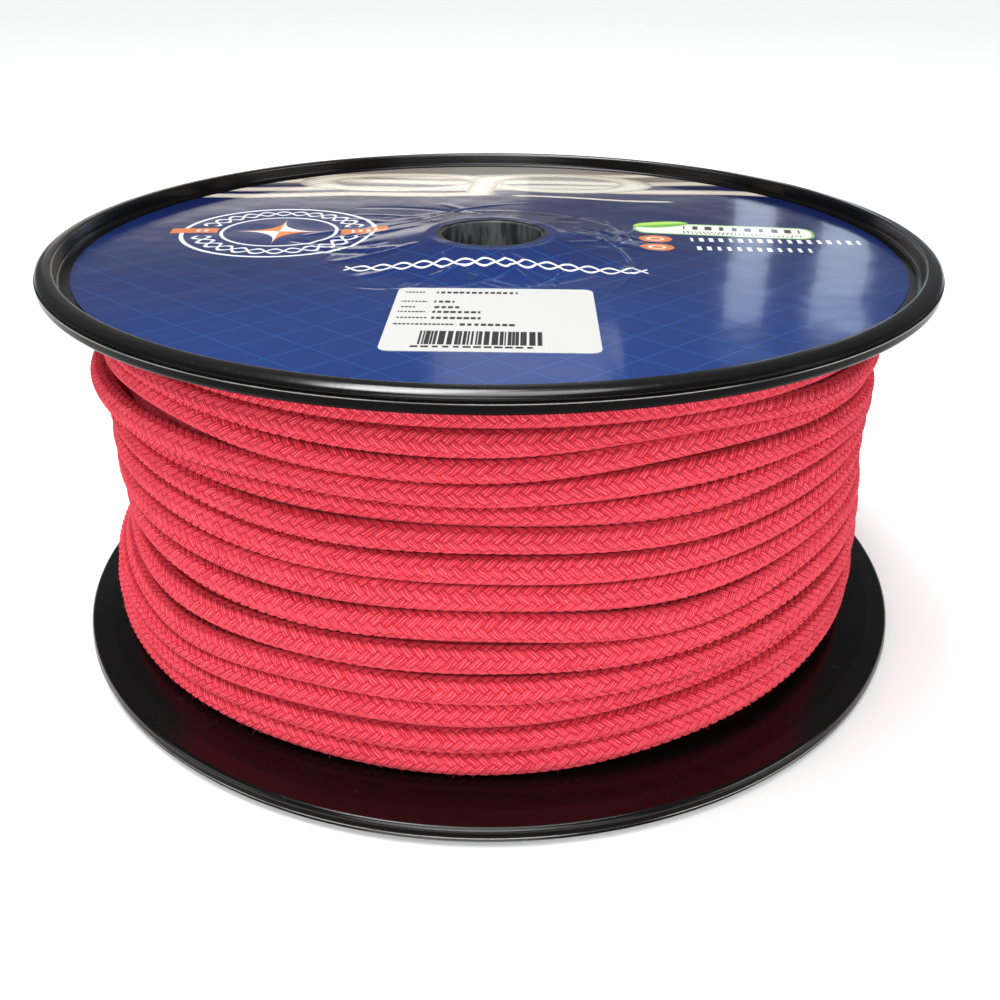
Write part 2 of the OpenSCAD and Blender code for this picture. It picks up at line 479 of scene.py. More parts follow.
# ---------------------------------------------------------------- studio
def build_stage(opts):
    camera_data = bpy.data.cameras.new("Camera")
    camera_data.lens = opts.lens
    camera_data.sensor_width = 36.0
    camera_data.shift_x, camera_data.shift_y = CAMERA_SHIFT
    camera_data.clip_start = 0.01
    camera = bpy.data.objects.new("Camera", camera_data)
    camera.location = (0.0, -opts.distance, opts.height)
    camera.rotation_euler = (math.pi / 2 - opts.pitch, *CAMERA_TWIST)
    bpy.context.scene.collection.objects.link(camera)
    bpy.context.scene.camera = camera

    half = 9.0
    cells = 24
    line = np.linspace(-half, half, cells + 1)
    xs, ys = np.meshgrid(line, line, indexing="ij")
    verts = np.stack([xs, ys, np.full_like(xs, -0.0003)], axis=-1).reshape(-1, 3)
    index = np.arange((cells + 1) ** 2).reshape(cells + 1, cells + 1)
    pattern = Pattern("pale_floor")
    x, y, z = pattern.source("Object")
    speck = pattern.noise(pattern.combine(x, y, z), 14.0, 3.0)
    pattern.set(
        Base_Color=pattern.blend(speck, (0.86, 0.86, 0.86), (0.90, 0.90, 0.90)),
        Roughness=0.85, Specular_IOR_Level=0.0)
    floor = new_object("floor", mesh_from("floor", verts, grid_quads(index)), pattern.material)

    add_light("key_light", "SUN", opts.key, (-0.25, -1.5, 1.05), (0, 0, 0.05), angle=0.8)
    add_light("top_light", "SUN", opts.top, (-0.05, -0.12, 1.5), (0, 0, 0.05), angle=0.7)
    add_light("front_fill", "AREA", opts.fill, (0.2, -1.5, 0.60), (0, 0, 0.06), size=(1.4, 0.6))
    add_light("side_right", "AREA", opts.fill * 0.85, (1.3, -0.5, 0.55), (0, 0, 0.07), size=(0.7, 0.5))
    add_light("side_left", "AREA", opts.fill * 0.40, (-1.3, -0.5, 0.55), (0, 0, 0.07), size=(0.7, 0.5))
    add_light("overhead", "AREA", opts.overhead, (-0.3, 0.10, 1.5), (0, 0, 0.1), size=(1.2, 0.45))
    warm = (1.0, 0.90, 0.80)
    cool = (0.72, 0.84, 1.0)
    strips = (
        ("window_left", -0.34, 0.29, 0.80, 0.24, 0.34, warm),
        ("window_mid", 0.395, 0.36, 0.060, 0.46, 0.55, cool),
        ("window_right", 0.535, 0.36, 0.070, 0.46, 0.60, cool),
        ("window_high", 0.05, 0.67, 0.28, 0.12, 0.25, (0.9, 0.92, 1.0)),
        ("window_low", 0.0, 0.345, 1.70, 0.08, 0.27, (0.95, 0.97, 1.0)),
    )
    for name, x, z, width, tall, share, tone in strips:
        light = add_light(name, "AREA", opts.window * share * width * tall / 0.033, (x, 1.25, z),
                          (x * 0.3, 0, 0.13), size=(width, tall))
        light.data.color = tone

    world = bpy.data.worlds.new("Soft sky")
    world.use_nodes = True
    background = world.node_tree.nodes["Background"]
    background.inputs["Color"].default_value = (0.93, 0.96, 1.0, 1.0)
    background.inputs["Strength"].default_value = opts.sky
    bpy.context.scene.world = world
    bpy.context.scene.view_settings.view_transform = "Standard"


def add_light(name, kind, power, place, target, size=None, angle=None):
    """Adds a soft light that looks from its place at the target."""
    data = bpy.data.lights.new(name, kind)
    data.energy = power
    if size is not None:
        data.shape = "RECTANGLE"
        data.size, data.size_y = size
    if angle is not None:
        data.angle = angle
    light = bpy.data.objects.new(name, data)
    light.location = place
    aim = Vector(target) - Vector(place)
    light.rotation_euler = aim.to_track_quat("-Z", "Y").to_euler()
    bpy.context.scene.collection.objects.link(light)
    return light


# ---------------------------------------------------------------- rope lay
# Height of each visible turn above the floor, in mm, at these angles from the front
FRONT_ANGLES = (-75, -50, -25, 0, 25, 50, 75)
TURN_HEIGHTS = (
    (126.3, 126.2, 126.1, 125.9, 125.1, 122.6, 119.6),
    (118.9, 118.7, 117.4, 116.8, 117.7, 113.7, 111.0),
    (111.1, 113.7, 109.6, 108.8, 112.1, 108.1, 104.0),
    (101.1, 102.3, 102.7, 101.7, 102.9, 101.3, 98.0),
    (94.1, 94.5, 94.7, 94.5, 93.9, 94.9, 92.5),
    (89.3, 89.3, 87.7, 88.1, 85.2, 86.4, 85.5),
    (80.1, 79.5, 78.3, 78.7, 76.1, 77.1, 77.0),
    (70.1, 68.9, 69.3, 69.9, 66.8, 68.3, 68.5),
    (58.7, 57.9, 58.6, 60.6, 56.3, 59.6, 60.0),
    (46.1, 44.3, 47.6, 49.2, 47.2, 50.1, 50.5),
    (34.9, 32.2, 37.8, 38.4, 38.1, 37.9, 40.1),
    (28.3, 24.9, 29.3, 29.9, 30.1, 30.7, 31.9),
    (19.9, 18.3, 20.3, 20.8, 24.1, 25.4, 26.1),
    (13.1, 12.4, 12.9, 12.5, 16.4, 18.4, 19.5),
)
# How far each turn stands proud of the winding at the same angles, in mm
TURN_RISE = (
    (0.0, 0.0, 0.0, 0.0, 0.0, -0.6, 0.0),
    (0.6, 0.8, 0.0, 0.0, -0.6, 1.8, 1.4),
    (0.4, 0.8, 0.2, 0.0, 0.4, -1.0, -0.8),
    (5.6, 3.4, 1.3, 0.3, 0.0, 1.0, 1.3),
    (1.6, -1.6, -2.6, -2.4, -0.2, 0.4, 1.4),
    (1.0, 0.8, 0.9, 0.6, 0.2, 0.3, 0.3),
    (1.0, 0.4, 0.0, 0.2, 0.4, 0.0, 0.2),
    (0.8, 0.5, 0.2, 0.0, -0.2, 0.1, 0.2),
    (-0.9, -0.4, 0.1, 0.3, 0.5, 0.5, 1.5),
    (-0.8, 0.0, 0.0, 0.0, -0.3, 0.9, 2.0),
    (2.2, 1.4, 0.6, 0.2, 0.3, 1.2, 2.4),
    (5.6, 3.0, 0.8, 0.0, -2.6, -1.8, 0.6),
    (6.8, 3.6, 1.0, 0.4, 0.8, 1.4, 2.6),
    (6.4, 3.4, 1.0, 0.4, 0.8, 1.2, 1.8),
)


def lay_knots():
    """Angles all the way along the last layer, in degrees, with height and rise at each."""
    angles, heights, rises = [], [], []
    rng = np.random.default_rng(7)
    for n in range(OUTER_TURNS):
        start = 360.0 * n
        if n == 0:
            before_h, before_r = TURN_HEIGHTS[0][0], 0.0
        else:
            before_h = (TURN_HEIGHTS[n - 1][-1] + TURN_HEIGHTS[n][0]) / 2
            before_r = (TURN_RISE[n - 1][-1] + TURN_RISE[n][0]) / 2
        angles.append(start - 180.0)
        heights.append(before_h + rng.normal(0.0, 0.25))
        rises.append(before_r * 0.5)
        for angle, height, rise in zip(FRONT_ANGLES, TURN_HEIGHTS[n], TURN_RISE[n]):
            angles.append(start + angle)
            heights.append(height)
            rises.append(rise)
    angles.append(360.0 * OUTER_TURNS - 180.0)
    heights.append(12.9)
    rises.append(-0.3)
    return np.array(angles), np.array(heights), np.array(rises)


LAY_ANGLES, LAY_HEIGHTS, LAY_RISES = lay_knots()


def lay_height(total):
    return catmull(LAY_ANGLES, LAY_HEIGHTS, total) * MM


def lay_rise(total):
    return catmull(LAY_ANGLES, LAY_RISES, total) * MM


def smooth_step(f):
    f = np.clip(f, 0.0, 1.0)
    return f * f * (3 - 2 * f)


def lay_section(total):
    """Height, centre radius, width along the axis and thickness of the rope at total angles."""
    total = np.asarray(total, dtype=float)
    first = LAY_ANGLES[0]
    last = LAY_ANGLES[-1]
    height = lay_height(total)
    above = lay_height(np.maximum(total - 360, first))
    above = np.where(total - 360 < first, 2 * DECK_TOP - height, above)
    under = lay_height(np.minimum(total + 360, last))
    under = np.where(total + 360 > last, 2 * DECK_Z - height, under)
    width = np.clip((above - under) / 2, *TURN_WIDTH)
    thick = np.clip(TURN_AREA / width, *TURN_THICK)
    outer = WOUND_R - 0.9 * MM + lay_rise(total)
    # the layer comes up out of the one below it over its first few degrees
    sink = smooth_step((first + EMERGE_DEG - total) / EMERGE_DEG)
    return height, outer - thick / 2 - sink * EMERGE_SINK, width, thick


def lay_point(total):
    """Centreline points for total angles in degrees."""
    height, radius, _, _ = lay_section(total)
    angle = np.radians(total)
    return np.stack([radius * np.sin(angle), -radius * np.cos(angle), height], axis=-1)


def turn_offset(n):
    return 360.0 * n - 180.0


# ---------------------------------------------------------------- braid
def braid_relief(a, b):
    """0 in the gap and 1 on the crown of a strand, for lattice places a and b."""
    i = np.floor(a)
    j = np.floor(b)
    fa = a - i
    fb = b - j
    state = np.mod(i - j, 4)
    first = state < 2
    across = np.where(first, fa, fb)
    along = np.where(first, fb + 1 - state, fa + state - 2)
    crown = 1 - np.abs(2 * across - 1) ** 2.4
    ends = np.clip(along / 0.38, 0, 1) * np.clip((2 - along) / 0.38, 0, 1)
    ends = ends * ends * (3 - 2 * ends)
    return crown * ends


def braided_tube(name, row_points, frame_out, frame_up, half_out, half_up, v_rows, relief, material,
                 drift=None):
    """Sweeps a braided rope: one ring of lattice points per row, staggered row by row."""
    rows = len(row_points)
    columns = STRANDS * FINE
    k = np.arange(rows)
    odd = (v_rows % 2).astype(float)
    v = v_rows / (2.0 * FINE)
    u = (np.arange(columns)[None, :] + 0.5 * odd[:, None]) / FINE
    vv = np.repeat(v[:, None], columns, axis=1)
    a = vv + u
    b = vv - u
    # the middle columns sit near the edges of a strand, so its sides stand steep
    steps = np.array([0.0, 0.22, 0.78])
    cell_a = np.floor(a + 1e-6)
    cell_b = np.floor(b + 1e-6)
    a2 = cell_a + steps[np.rint((a - cell_a) * FINE).astype(int) % FINE]
    b2 = cell_b + steps[np.rint((b - cell_b) * FINE).astype(int) % FINE]
    u2 = (a2 - b2) / 2
    v2 = (a2 + b2) / 2
    shift = v2 - vv
    height = braid_relief(a2 + 1e-7, b2 + 1e-7)
    turn = np.zeros(rows) if drift is None else drift
    angle = 2 * math.pi * u2 / STRANDS + turn[:, None]
    # point on a slightly squared oval, and its outward direction
    power = 0.98
    c = np.sign(np.cos(angle)) * np.abs(np.cos(angle)) ** power
    s = np.sign(np.sin(angle)) * np.abs(np.sin(angle)) ** power
    lift = relief * (height - 0.62)
    out_part = half_out[:, None] * c + lift * np.cos(angle)
    up_part = half_up[:, None] * s + lift * np.sin(angle)
    along = np.gradient(row_points, axis=0)
    per_v = along / np.gradient(v)[:, None]
    verts = (
        row_points[:, None, :]
        + per_v[:, None, :] * shift[:, :, None]
        + frame_out[:, None, :] * out_part[:, :, None]
        + frame_up[:, None, :] * up_part[:, :, None]
    )
    verts[0] -= per_v[0] * shift[0][:, None]
    verts[-1] -= per_v[-1] * shift[-1][:, None]
    flat = verts.reshape(-1, 3)
    j = np.arange(columns)
    nxt = (j + 1) % columns
    tris, uvs = [], []
    for parity in (0, 1):
        ks = k[:-1][(v_rows[:-1] % 2) == parity]
        base = (ks * columns)[:, None]
        up = base + columns
        u_here = (j + 0.5 * parity) / FINE
        u_next = u_here + 1.0 / FINE
        u_up = (j + 0.5 * (1 - parity)) / FINE
        lo = v[ks][:, None] + 0 * j[None, :]
        hi = v[ks + 1][:, None] + 0 * j[None, :]
        one = np.ones((len(ks), 1))
        if parity == 0:
            first = np.stack([base + j, base + nxt, up + j], axis=-1)
            first_uv = [(one * u_here, lo), (one * u_next, lo), (one * u_up, hi)]
            second = np.stack([base + nxt, up + nxt, up + j], axis=-1)
            second_uv = [(one * u_next, lo), (one * (u_up + 1.0 / FINE), hi), (one * u_up, hi)]
        else:
            first = np.stack([base + j, up + nxt, up + j], axis=-1)
            first_uv = [(one * u_here, lo), (one * (u_up + 1.0 / FINE), hi), (one * u_up, hi)]
            second = np.stack([base + j, base + nxt, up + nxt], axis=-1)
            second_uv = [(one * u_here, lo), (one * u_next, lo), (one * (u_up + 1.0 / FINE), hi)]
        for block, pairs in ((first, first_uv), (second, second_uv)):
            tris.append(block.reshape(-1, 3))
            stacked = np.stack([np.stack(p, axis=-1) for p in pairs], axis=2)
            uvs.append(stacked.reshape(-1, 3, 2))
    # closed ends
    for row, flip in ((0, True), (rows - 1, False)):
        centre = len(flat)
        flat = np.vstack([flat, row_points[row][None, :]])
        base = row * columns
        fan = np.stack([base + j, base + nxt, np.full(columns, centre)], axis=-1)
        if flip:
            fan = fan[:, ::-1]
        tris.append(fan)
        edge = np.zeros((columns, 3, 2))
        edge[:, :, 0] = (j / FINE)[:, None]
        edge[:, :, 1] = v[row]
        uvs.append(edge)
    tris = np.concatenate(tris)
    uvs = np.concatenate(uvs)
    if signed_volume(flat, tris) < 0:
        tris = tris[:, ::-1]
        uvs = uvs[:, ::-1]
    mesh = mesh_from(name, flat, tris, uvs.reshape(-1, 2))
    # how close each point lies to the turns above and below it, where the rope material paints shade
    nip = np.zeros(len(flat), dtype=np.float32)
    nip[: rows * columns] = (np.abs(np.sin(angle)) ** 3).ravel()
    layer = mesh.attributes.new("nip", "FLOAT", "POINT")
    layer.data.foreach_set("value", nip)
    return new_object(name, mesh, material)


def rope_material(opts):
    """Matt polyester braid: strands, their fine yarns, painted shade between them and painted highlights on
    the yarn crests.
    """
    p = Pattern("red_braid_yarn")
    u, v, _ = p.source("UV")
    loose = p.noise(p.combine(u * 0.8, v * 0.8, 0.0), 1.0, 3.0, 0.7)
    slack = p.noise(p.combine(u * 0.8, v * 0.8, 9.0), 1.0, 3.0, 0.7)
    a = v + u + (loose - 0.5) * 0.42
    b = v - u + (slack - 0.5) * 0.42
    i = a.floor()
    j = b.floor()
    fa = a - i
    fb = b - j
    gap = i - j
    state = gap.math("FLOORED_MODULO", 4.0)
    first = state.math("LESS_THAN", 1.5)
    second = 1.0 - first
    across = first * fa + second * fb
    along = first * (fb + 1.0 - state) + second * (fa + state - 2.0)
    rim = (across * 2.0 - 1.0).absolute()
    crown = 1.0 - rim.math("POWER", 2.6)
    ends = along.above(0.16, 0.2) * along.below(1.84, 0.2)
    height = crown * ends
    strand = first * i + second * (j + 40.0)
    number = (gap / 4.0).floor()
    tint = p.hashed(p.combine(strand, number, first * 7.0))
    fibre_place = p.combine(across * 5.0, along * 0.9, strand * 3.1 + number * 1.7)
    fibre = p.noise(fibre_place, 1.6, 2.0, 0.6)
    yarn = ((across * 4.4 + along * 0.22 + tint + (fibre - 0.5) * 0.5).wave() * 0.5 + 0.5)
    fluff = p.noise(p.combine(u * 3.0, v * 3.0, 2.0), 4.0, 2.0, 0.7)
    # painted shade: darker in the gaps between strands and where strand ends dip under, times the yarns' own
    # stripes and uneven tone
    soft_ends = ends * 0.50 + 0.50
    grain = (yarn * 0.42 + 0.70) * (tint * 0.24 + 0.86) * (fluff * 0.34 + 0.80)
    shade = (crown.above(0.06, 0.30) * 0.34 + 0.66) * soft_ends * grain
    # painted shade: the braid is darkened where a turn presses on the turns above and below it
    nip = p.attribute("nip")
    painted_contact_shade = 1.0 - nip.above(0.66, 0.30) * 0.52
    shade = shade * painted_contact_shade
    middle = tuple(0.56 * c for c in opts.colour)
    middle = (middle[0] * 1.16, middle[1] * 0.55, middle[2] * 0.80)
    colour = p.ramp(shade, ((0.0, tuple(opts.gap_shade_colour)), (0.5, middle), (1.0, tuple(opts.colour))))
    # painted highlight: the crest colour along the tops of the yarns, kept off the painted contact shade
    ridge = yarn * yarn * (fibre * 0.9 + 0.35)
    pale = crown.above(0.20, 0.3) * ends * (ridge * 0.90 + tint * 0.10) * painted_contact_shade
    colour = p.blend(pale, colour, tuple(opts.crest_colour))
    relief = height * 0.46 + yarn * (crown * 0.26 + 0.12) + fibre * 0.22 + fluff * 0.16 + tint * 0.10
    normal = p.bump(relief, 0.62 * MM, 1.0)
    return p.set(
        Base_Color=colour, Roughness=0.88, Normal=normal, Specular_IOR_Level=0.10,
        Sheen_Weight=0.06, Sheen_Roughness=0.45, Sheen_Tint=(1.0, 0.62, 0.64))


def build_outer_rope(opts, material):
    """The fourteen turns that show, each cut at the back so the next one carries on from it."""
    made = []
    total = np.arange(-180.0, 360.0 * OUTER_TURNS - 180.0 + 1e-6, 0.25)
    walked = walked_length(lay_point(total))
    row_gap = opts.repeat / (2 * FINE)
    last_row = int(walked[-1] / row_gap)
    cuts = [int(round(np.interp(turn_offset(n), total, walked) / row_gap)) for n in range(OUTER_TURNS)]
    cuts.append(last_row)
    rng = np.random.default_rng(3)
    drift_knots = np.arange(0, last_row + 400, 200)
    drift_values = np.cumsum(rng.normal(0.0, 0.16, len(drift_knots)))
    for n in range(OUTER_TURNS):
        rows = np.arange(cuts[n], cuts[n + 1] + 1)
        where = np.interp(rows * row_gap, walked, total)
        _, _, width, thick = lay_section(where)
        angle = np.radians(where)
        points = lay_point(where)
        out = np.stack([np.sin(angle), -np.cos(angle), np.zeros_like(angle)], axis=-1)
        up = np.zeros_like(out)
        up[:, 2] = 1.0
        wobble = 1 + 0.018 * np.sin(rows * 0.013) + 0.012 * np.sin(rows * 0.041 + n)
        drift = np.interp(rows, drift_knots, drift_values)
        rope = braided_tube(
            f"rope_turn_{n + 1:02d}", points, out, up,
            thick / 2 * wobble, width / 2 * wobble - 0.32 * MM, rows, opts.relief,
            material, drift=drift)
        dress(rope)
        made.append(rope)
    return made


def node_group(name, sockets):
    """A new geometry node tree with named inputs and one geometry output."""
    tree = bpy.data.node_groups.new(name, "GeometryNodeTree")
    for label, kind in sockets:
        tree.interface.new_socket(label, in_out="INPUT", socket_type="NodeSocket" + kind)
    tree.interface.new_socket("Geometry", in_out="OUTPUT", socket_type="NodeSocketGeometry")
    return tree, tree.nodes.new("NodeGroupInput")


def close_group(tree, enter, geometry):
    """Ends a tree: real geometry in place of instances, with its material, to the output."""
    real = tree.nodes.new("GeometryNodeRealizeInstances")
    finish = tree.nodes.new("GeometryNodeSetMaterial")
    leave = tree.nodes.new("NodeGroupOutput")
    tree.links.new(geometry, real.inputs[0])
    tree.links.new(real.outputs[0], finish.inputs["Geometry"])
    tree.links.new(enter.outputs["Material"], finish.inputs["Material"])
    tree.links.new(finish.outputs[0], leave.inputs[0])


def run_group(host, tree, values):
    """Runs a tree on a host object with its inputs set, and gives the plain mesh it makes."""
    modifier = host.modifiers.new("Repeat", "NODES")
    modifier.node_group = tree
    for item in tree.interface.items_tree:
        if item.in_out == "INPUT" and item.name in values:
            modifier[item.identifier] = values[item.name]
    bpy.context.view_layer.update()
    graph = bpy.context.evaluated_depsgraph_get()
    mesh = bpy.data.meshes.new_from_object(host.evaluated_get(graph))
    bpy.data.objects.remove(host)
    return mesh


def mesh_points(mesh):
    co = np.zeros(len(mesh.vertices) * 3)
    mesh.vertices.foreach_get("co", co)
    return co.reshape(-1, 3)


def fuzz_tree():
    """A node tree that scatters one small fibre over a surface, tilted and turned at random."""
    tree, enter = node_group("fuzz_scatter", (
        ("Geometry", "Geometry"), ("Fibre", "Object"), ("Density", "Float"), ("Seed", "Int"),
        ("Material", "Material")))
    nodes, links = tree.nodes, tree.links
    scatter = nodes.new("GeometryNodeDistributePointsOnFaces")
    links.new(enter.outputs["Geometry"], scatter.inputs["Mesh"])
    links.new(enter.outputs["Density"], scatter.inputs["Density"])
    links.new(enter.outputs["Seed"], scatter.inputs["Seed"])
    info = nodes.new("GeometryNodeObjectInfo")
    links.new(enter.outputs["Fibre"], info.inputs["Object"])
    lean = nodes.new("FunctionNodeRandomValue")
    lean.data_type = "FLOAT_VECTOR"
    lean.inputs[0].default_value = (-0.9, -0.9, 0.0)
    lean.inputs[1].default_value = (0.9, 0.9, 2 * math.pi)
    links.new(enter.outputs["Seed"], lean.inputs["Seed"])
    swing = nodes.new("FunctionNodeEulerToRotation")
    links.new(lean.outputs[0], swing.inputs[0])
    turn = nodes.new("FunctionNodeRotateRotation")
    turn.rotation_space = "LOCAL"
    links.new(scatter.outputs["Rotation"], turn.inputs[0])
    links.new(swing.outputs[0], turn.inputs[1])
    size = nodes.new("FunctionNodeRandomValue")
    size.data_type = "FLOAT"
    size.inputs[2].default_value = 0.35
    size.inputs[3].default_value = 1.0
    place = nodes.new("GeometryNodeInstanceOnPoints")
    links.new(scatter.outputs["Points"], place.inputs["Points"])
    links.new(info.outputs["Geometry"], place.inputs["Instance"])
    links.new(turn.outputs[0], place.inputs["Rotation"])
    links.new(size.outputs[1], place.inputs["Scale"])
    close_group(tree, enter, place.outputs[0])
    return tree


def fibre_part():
    """One short curved fibre, a three-sided thread that narrows to its tip."""
    verts, faces = [], []
    steps = 2
    for k in range(steps + 1):
        f = k / steps
        wide = 0.050 * MM * (1.0 - 0.6 * f)
        centre = (0.7 * MM * f * f, 0.2 * MM * math.sin(3.0 * f), 1.7 * MM * f)
        for side in range(3):
            a = 2 * math.pi * side / 3
            verts.append((centre[0] + wide * math.cos(a), centre[1] + wide * math.sin(a), centre[2]))
    for k in range(steps):
        for side in range(3):
            nxt = (side + 1) % 3
            faces.append((3 * k + side, 3 * k + nxt, 3 * k + 3 + nxt, 3 * k + 3 + side))
    faces.append((2, 1, 0))
    faces.append((3 * steps, 3 * steps + 1, 3 * steps + 2))
    mesh = bpy.data.meshes.new("fibre_part")
    mesh.from_pydata(verts, [], faces)
    return link_object("fibre_part", mesh)


def build_fuzz(opts, turns):
    """Loose fibres that stand off the yarn, over the turns that show."""
    p = Pattern("loose_fibre")
    x, y, z = p.source("Object")
    tone = p.noise(p.combine(x, y, z), 900.0, 1.0)
    p.set(Base_Color=p.blend(tone, tuple(opts.colour), tuple(opts.crest_colour)), Roughness=0.8,
          Specular_IOR_Level=0.1)
    tree = fuzz_tree()
    part = fibre_part()
    verts, faces = [], []
    base = 0
    for n, turn in enumerate(turns):
        host = link_object("fuzz_host", turn.data.copy())
        mesh = run_group(host, tree, {
            "Fibre": part, "Density": opts.fuzz, "Seed": 11 + n, "Material": p.material})
        corners = np.zeros(len(mesh.loops), dtype=np.int32)
        mesh.loops.foreach_get("vertex_index", corners)
        starts = np.zeros(len(mesh.polygons), dtype=np.int32)
        counts = np.zeros(len(mesh.polygons), dtype=np.int32)
        mesh.polygons.foreach_get("loop_start", starts)
        mesh.polygons.foreach_get("loop_total", counts)
        quads = corners[starts[counts == 4][:, None] + np.arange(4)]
        caps = corners[starts[counts == 3][:, None] + np.arange(3)]
        verts.append(mesh_points(mesh))
        faces += [split_quads(quads) + base, caps + base]
        base += len(mesh.vertices)
        bpy.data.meshes.remove(mesh)
    bpy.data.objects.remove(part)
    mesh = mesh_from("rope_fuzz", np.concatenate(verts), np.concatenate(faces))
    dress(new_object("rope_fuzz", mesh, p.material))


def build_hidden_rope(opts, material):
    """The twelve layers under the last one, each one length of rope wound from flange to flange."""
    made = []
    sides = 6
    pitch = (DECK_TOP - DECK_Z) / INNER_TURNS
    for layer in range(LAYERS - 1):
        radius = BARREL_R + 3.65 * MM + layer * LAYER_PITCH
        lowest = (START_Z - DECK_Z) / pitch if layer == 0 else 0.5
        turns = INNER_TURNS - 0.5 - lowest
        count = int(turns * 40) + 1
        t = np.linspace(0.0, turns, count)
        rising = layer % 2 == 0
        height = DECK_Z + pitch * (lowest + t)
        angle = START_TURN + 2 * math.pi * t
        if not rising:
            height = DECK_Z + DECK_TOP - height
        sink = smooth_step(1.0 - t * 360.0 / EMERGE_DEG) * (1.0 if layer else 0.0)
        line_r = radius - sink * EMERGE_SINK
        points = np.stack([line_r * np.cos(angle), line_r * np.sin(angle), height], axis=-1)
        out = np.stack([np.cos(angle), np.sin(angle), np.zeros_like(angle)], axis=-1)
        ring = 2 * math.pi * np.arange(sides) / sides
        half_out = 3.7 * MM
        half_up = pitch / 2 * 1.04
        verts = points[:, None, :] + out[:, None, :] * (half_out * np.cos(ring))[None, :, None]
        verts = verts + np.array([0, 0, 1.0])[None, None, :] * (half_up * np.sin(ring))[None, :, None]
        rows = len(points)
        index = np.arange(rows * sides).reshape(rows, sides)
        right = np.roll(index, -1, axis=1)
        quads = np.stack([index[:-1], right[:-1], right[1:], index[1:]], axis=-1).reshape(-1, 4)
        caps = []
        for row, flip in ((0, True), (rows - 1, False)):
            for s in range(1, sides - 1):
                tri = [index[row, 0], index[row, s], index[row, s + 1]]
                caps.append(tri[::-1] if flip else tri)
        tris = np.concatenate([split_quads(quads), np.array(caps)])
        flat = verts.reshape(-1, 3)
        if signed_volume(flat, tris) < 0:
            tris = tris[:, ::-1]
        v_of = np.repeat(np.arange(rows), sides) * 2 * math.pi * radius / 40 / opts.repeat
        u_of = np.tile(np.arange(sides) * float(STRANDS) / sides, rows)
        uvs = np.stack([u_of[tris], v_of[tris]], axis=-1)
        # faces across the seam carry on past the last strand
        u = uvs[:, :, 0]
        wrapped = u.max(axis=1) - u.min(axis=1) > STRANDS / 2 + 0.1
        uvs[:, :, 0] = np.where(wrapped[:, None] & (u < STRANDS / 2), u + STRANDS, u)
        name = f"rope_layer_{layer + 1:02d}"
        rope = new_object(name, mesh_from(name, flat, tris, uvs.reshape(-1, 2)), material)
        dress(rope)
        made.append(rope)
    return made


def build_start_knot(opts, material):
    """The first end of the rope: through the barrel wall and into an overhand knot."""
    middle = np.array([33.5 * MM, 0.0, START_Z])
    t = np.linspace(0.0, 1.0, 400)
    phase = 2 * math.pi * (0.035 + 0.93 * t) + math.pi / 3
    size = 5.0 * MM
    knot = np.stack([
        middle[0] - 4.4 * MM * np.sin(3 * phase),
        size * (np.sin(phase) + 2 * np.sin(2 * phase)),
        middle[2] + 14.0 * MM + size * (np.cos(phase) - 2 * np.cos(2 * phase)),
    ], axis=-1)
    lead_end = knot[0]
    hole = np.array([BARREL_R - 0.5 * MM, 0.0, middle[2]])
    f = np.linspace(0.0, 1.0, 60)[:, None]
    bend = np.array([lead_end[0] + 5.0 * MM, lead_end[1] * 0.5, middle[2]])
    lead = (1 - f) ** 2 * hole + 2 * f * (1 - f) * bend + f ** 2 * lead_end
    line = np.concatenate([lead[:-1], knot])
    c, s = math.cos(START_TURN), math.sin(START_TURN)
    line = np.stack([line[:, 0] * c - line[:, 1] * s, line[:, 0] * s + line[:, 1] * c, line[:, 2]], axis=-1)
    walked = walked_length(line)
    row_gap = opts.repeat / (2 * FINE)
    rows = np.arange(int(walked[-1] / row_gap) + 1)
    points = np.stack([np.interp(rows * row_gap, walked, line[:, k]) for k in range(3)], axis=-1)
    tangent = np.gradient(points, axis=0)
    tangent /= np.linalg.norm(tangent, axis=1)[:, None]
    out = np.zeros_like(points)
    side = np.cross(tangent[0], (0, 0, 1.0))
    for k in range(len(points)):
        side = side - tangent[k] * np.dot(side, tangent[k])
        side = side / np.linalg.norm(side)
        out[k] = side
    up = np.cross(tangent, out)
    half = np.full(len(points), ROPE_D / 2 - 0.15 * MM)
    rope = braided_tube(
        "start_knot_rope", points, out, up, half, half, rows, opts.relief, material)
    dress(rope, "start_knot")


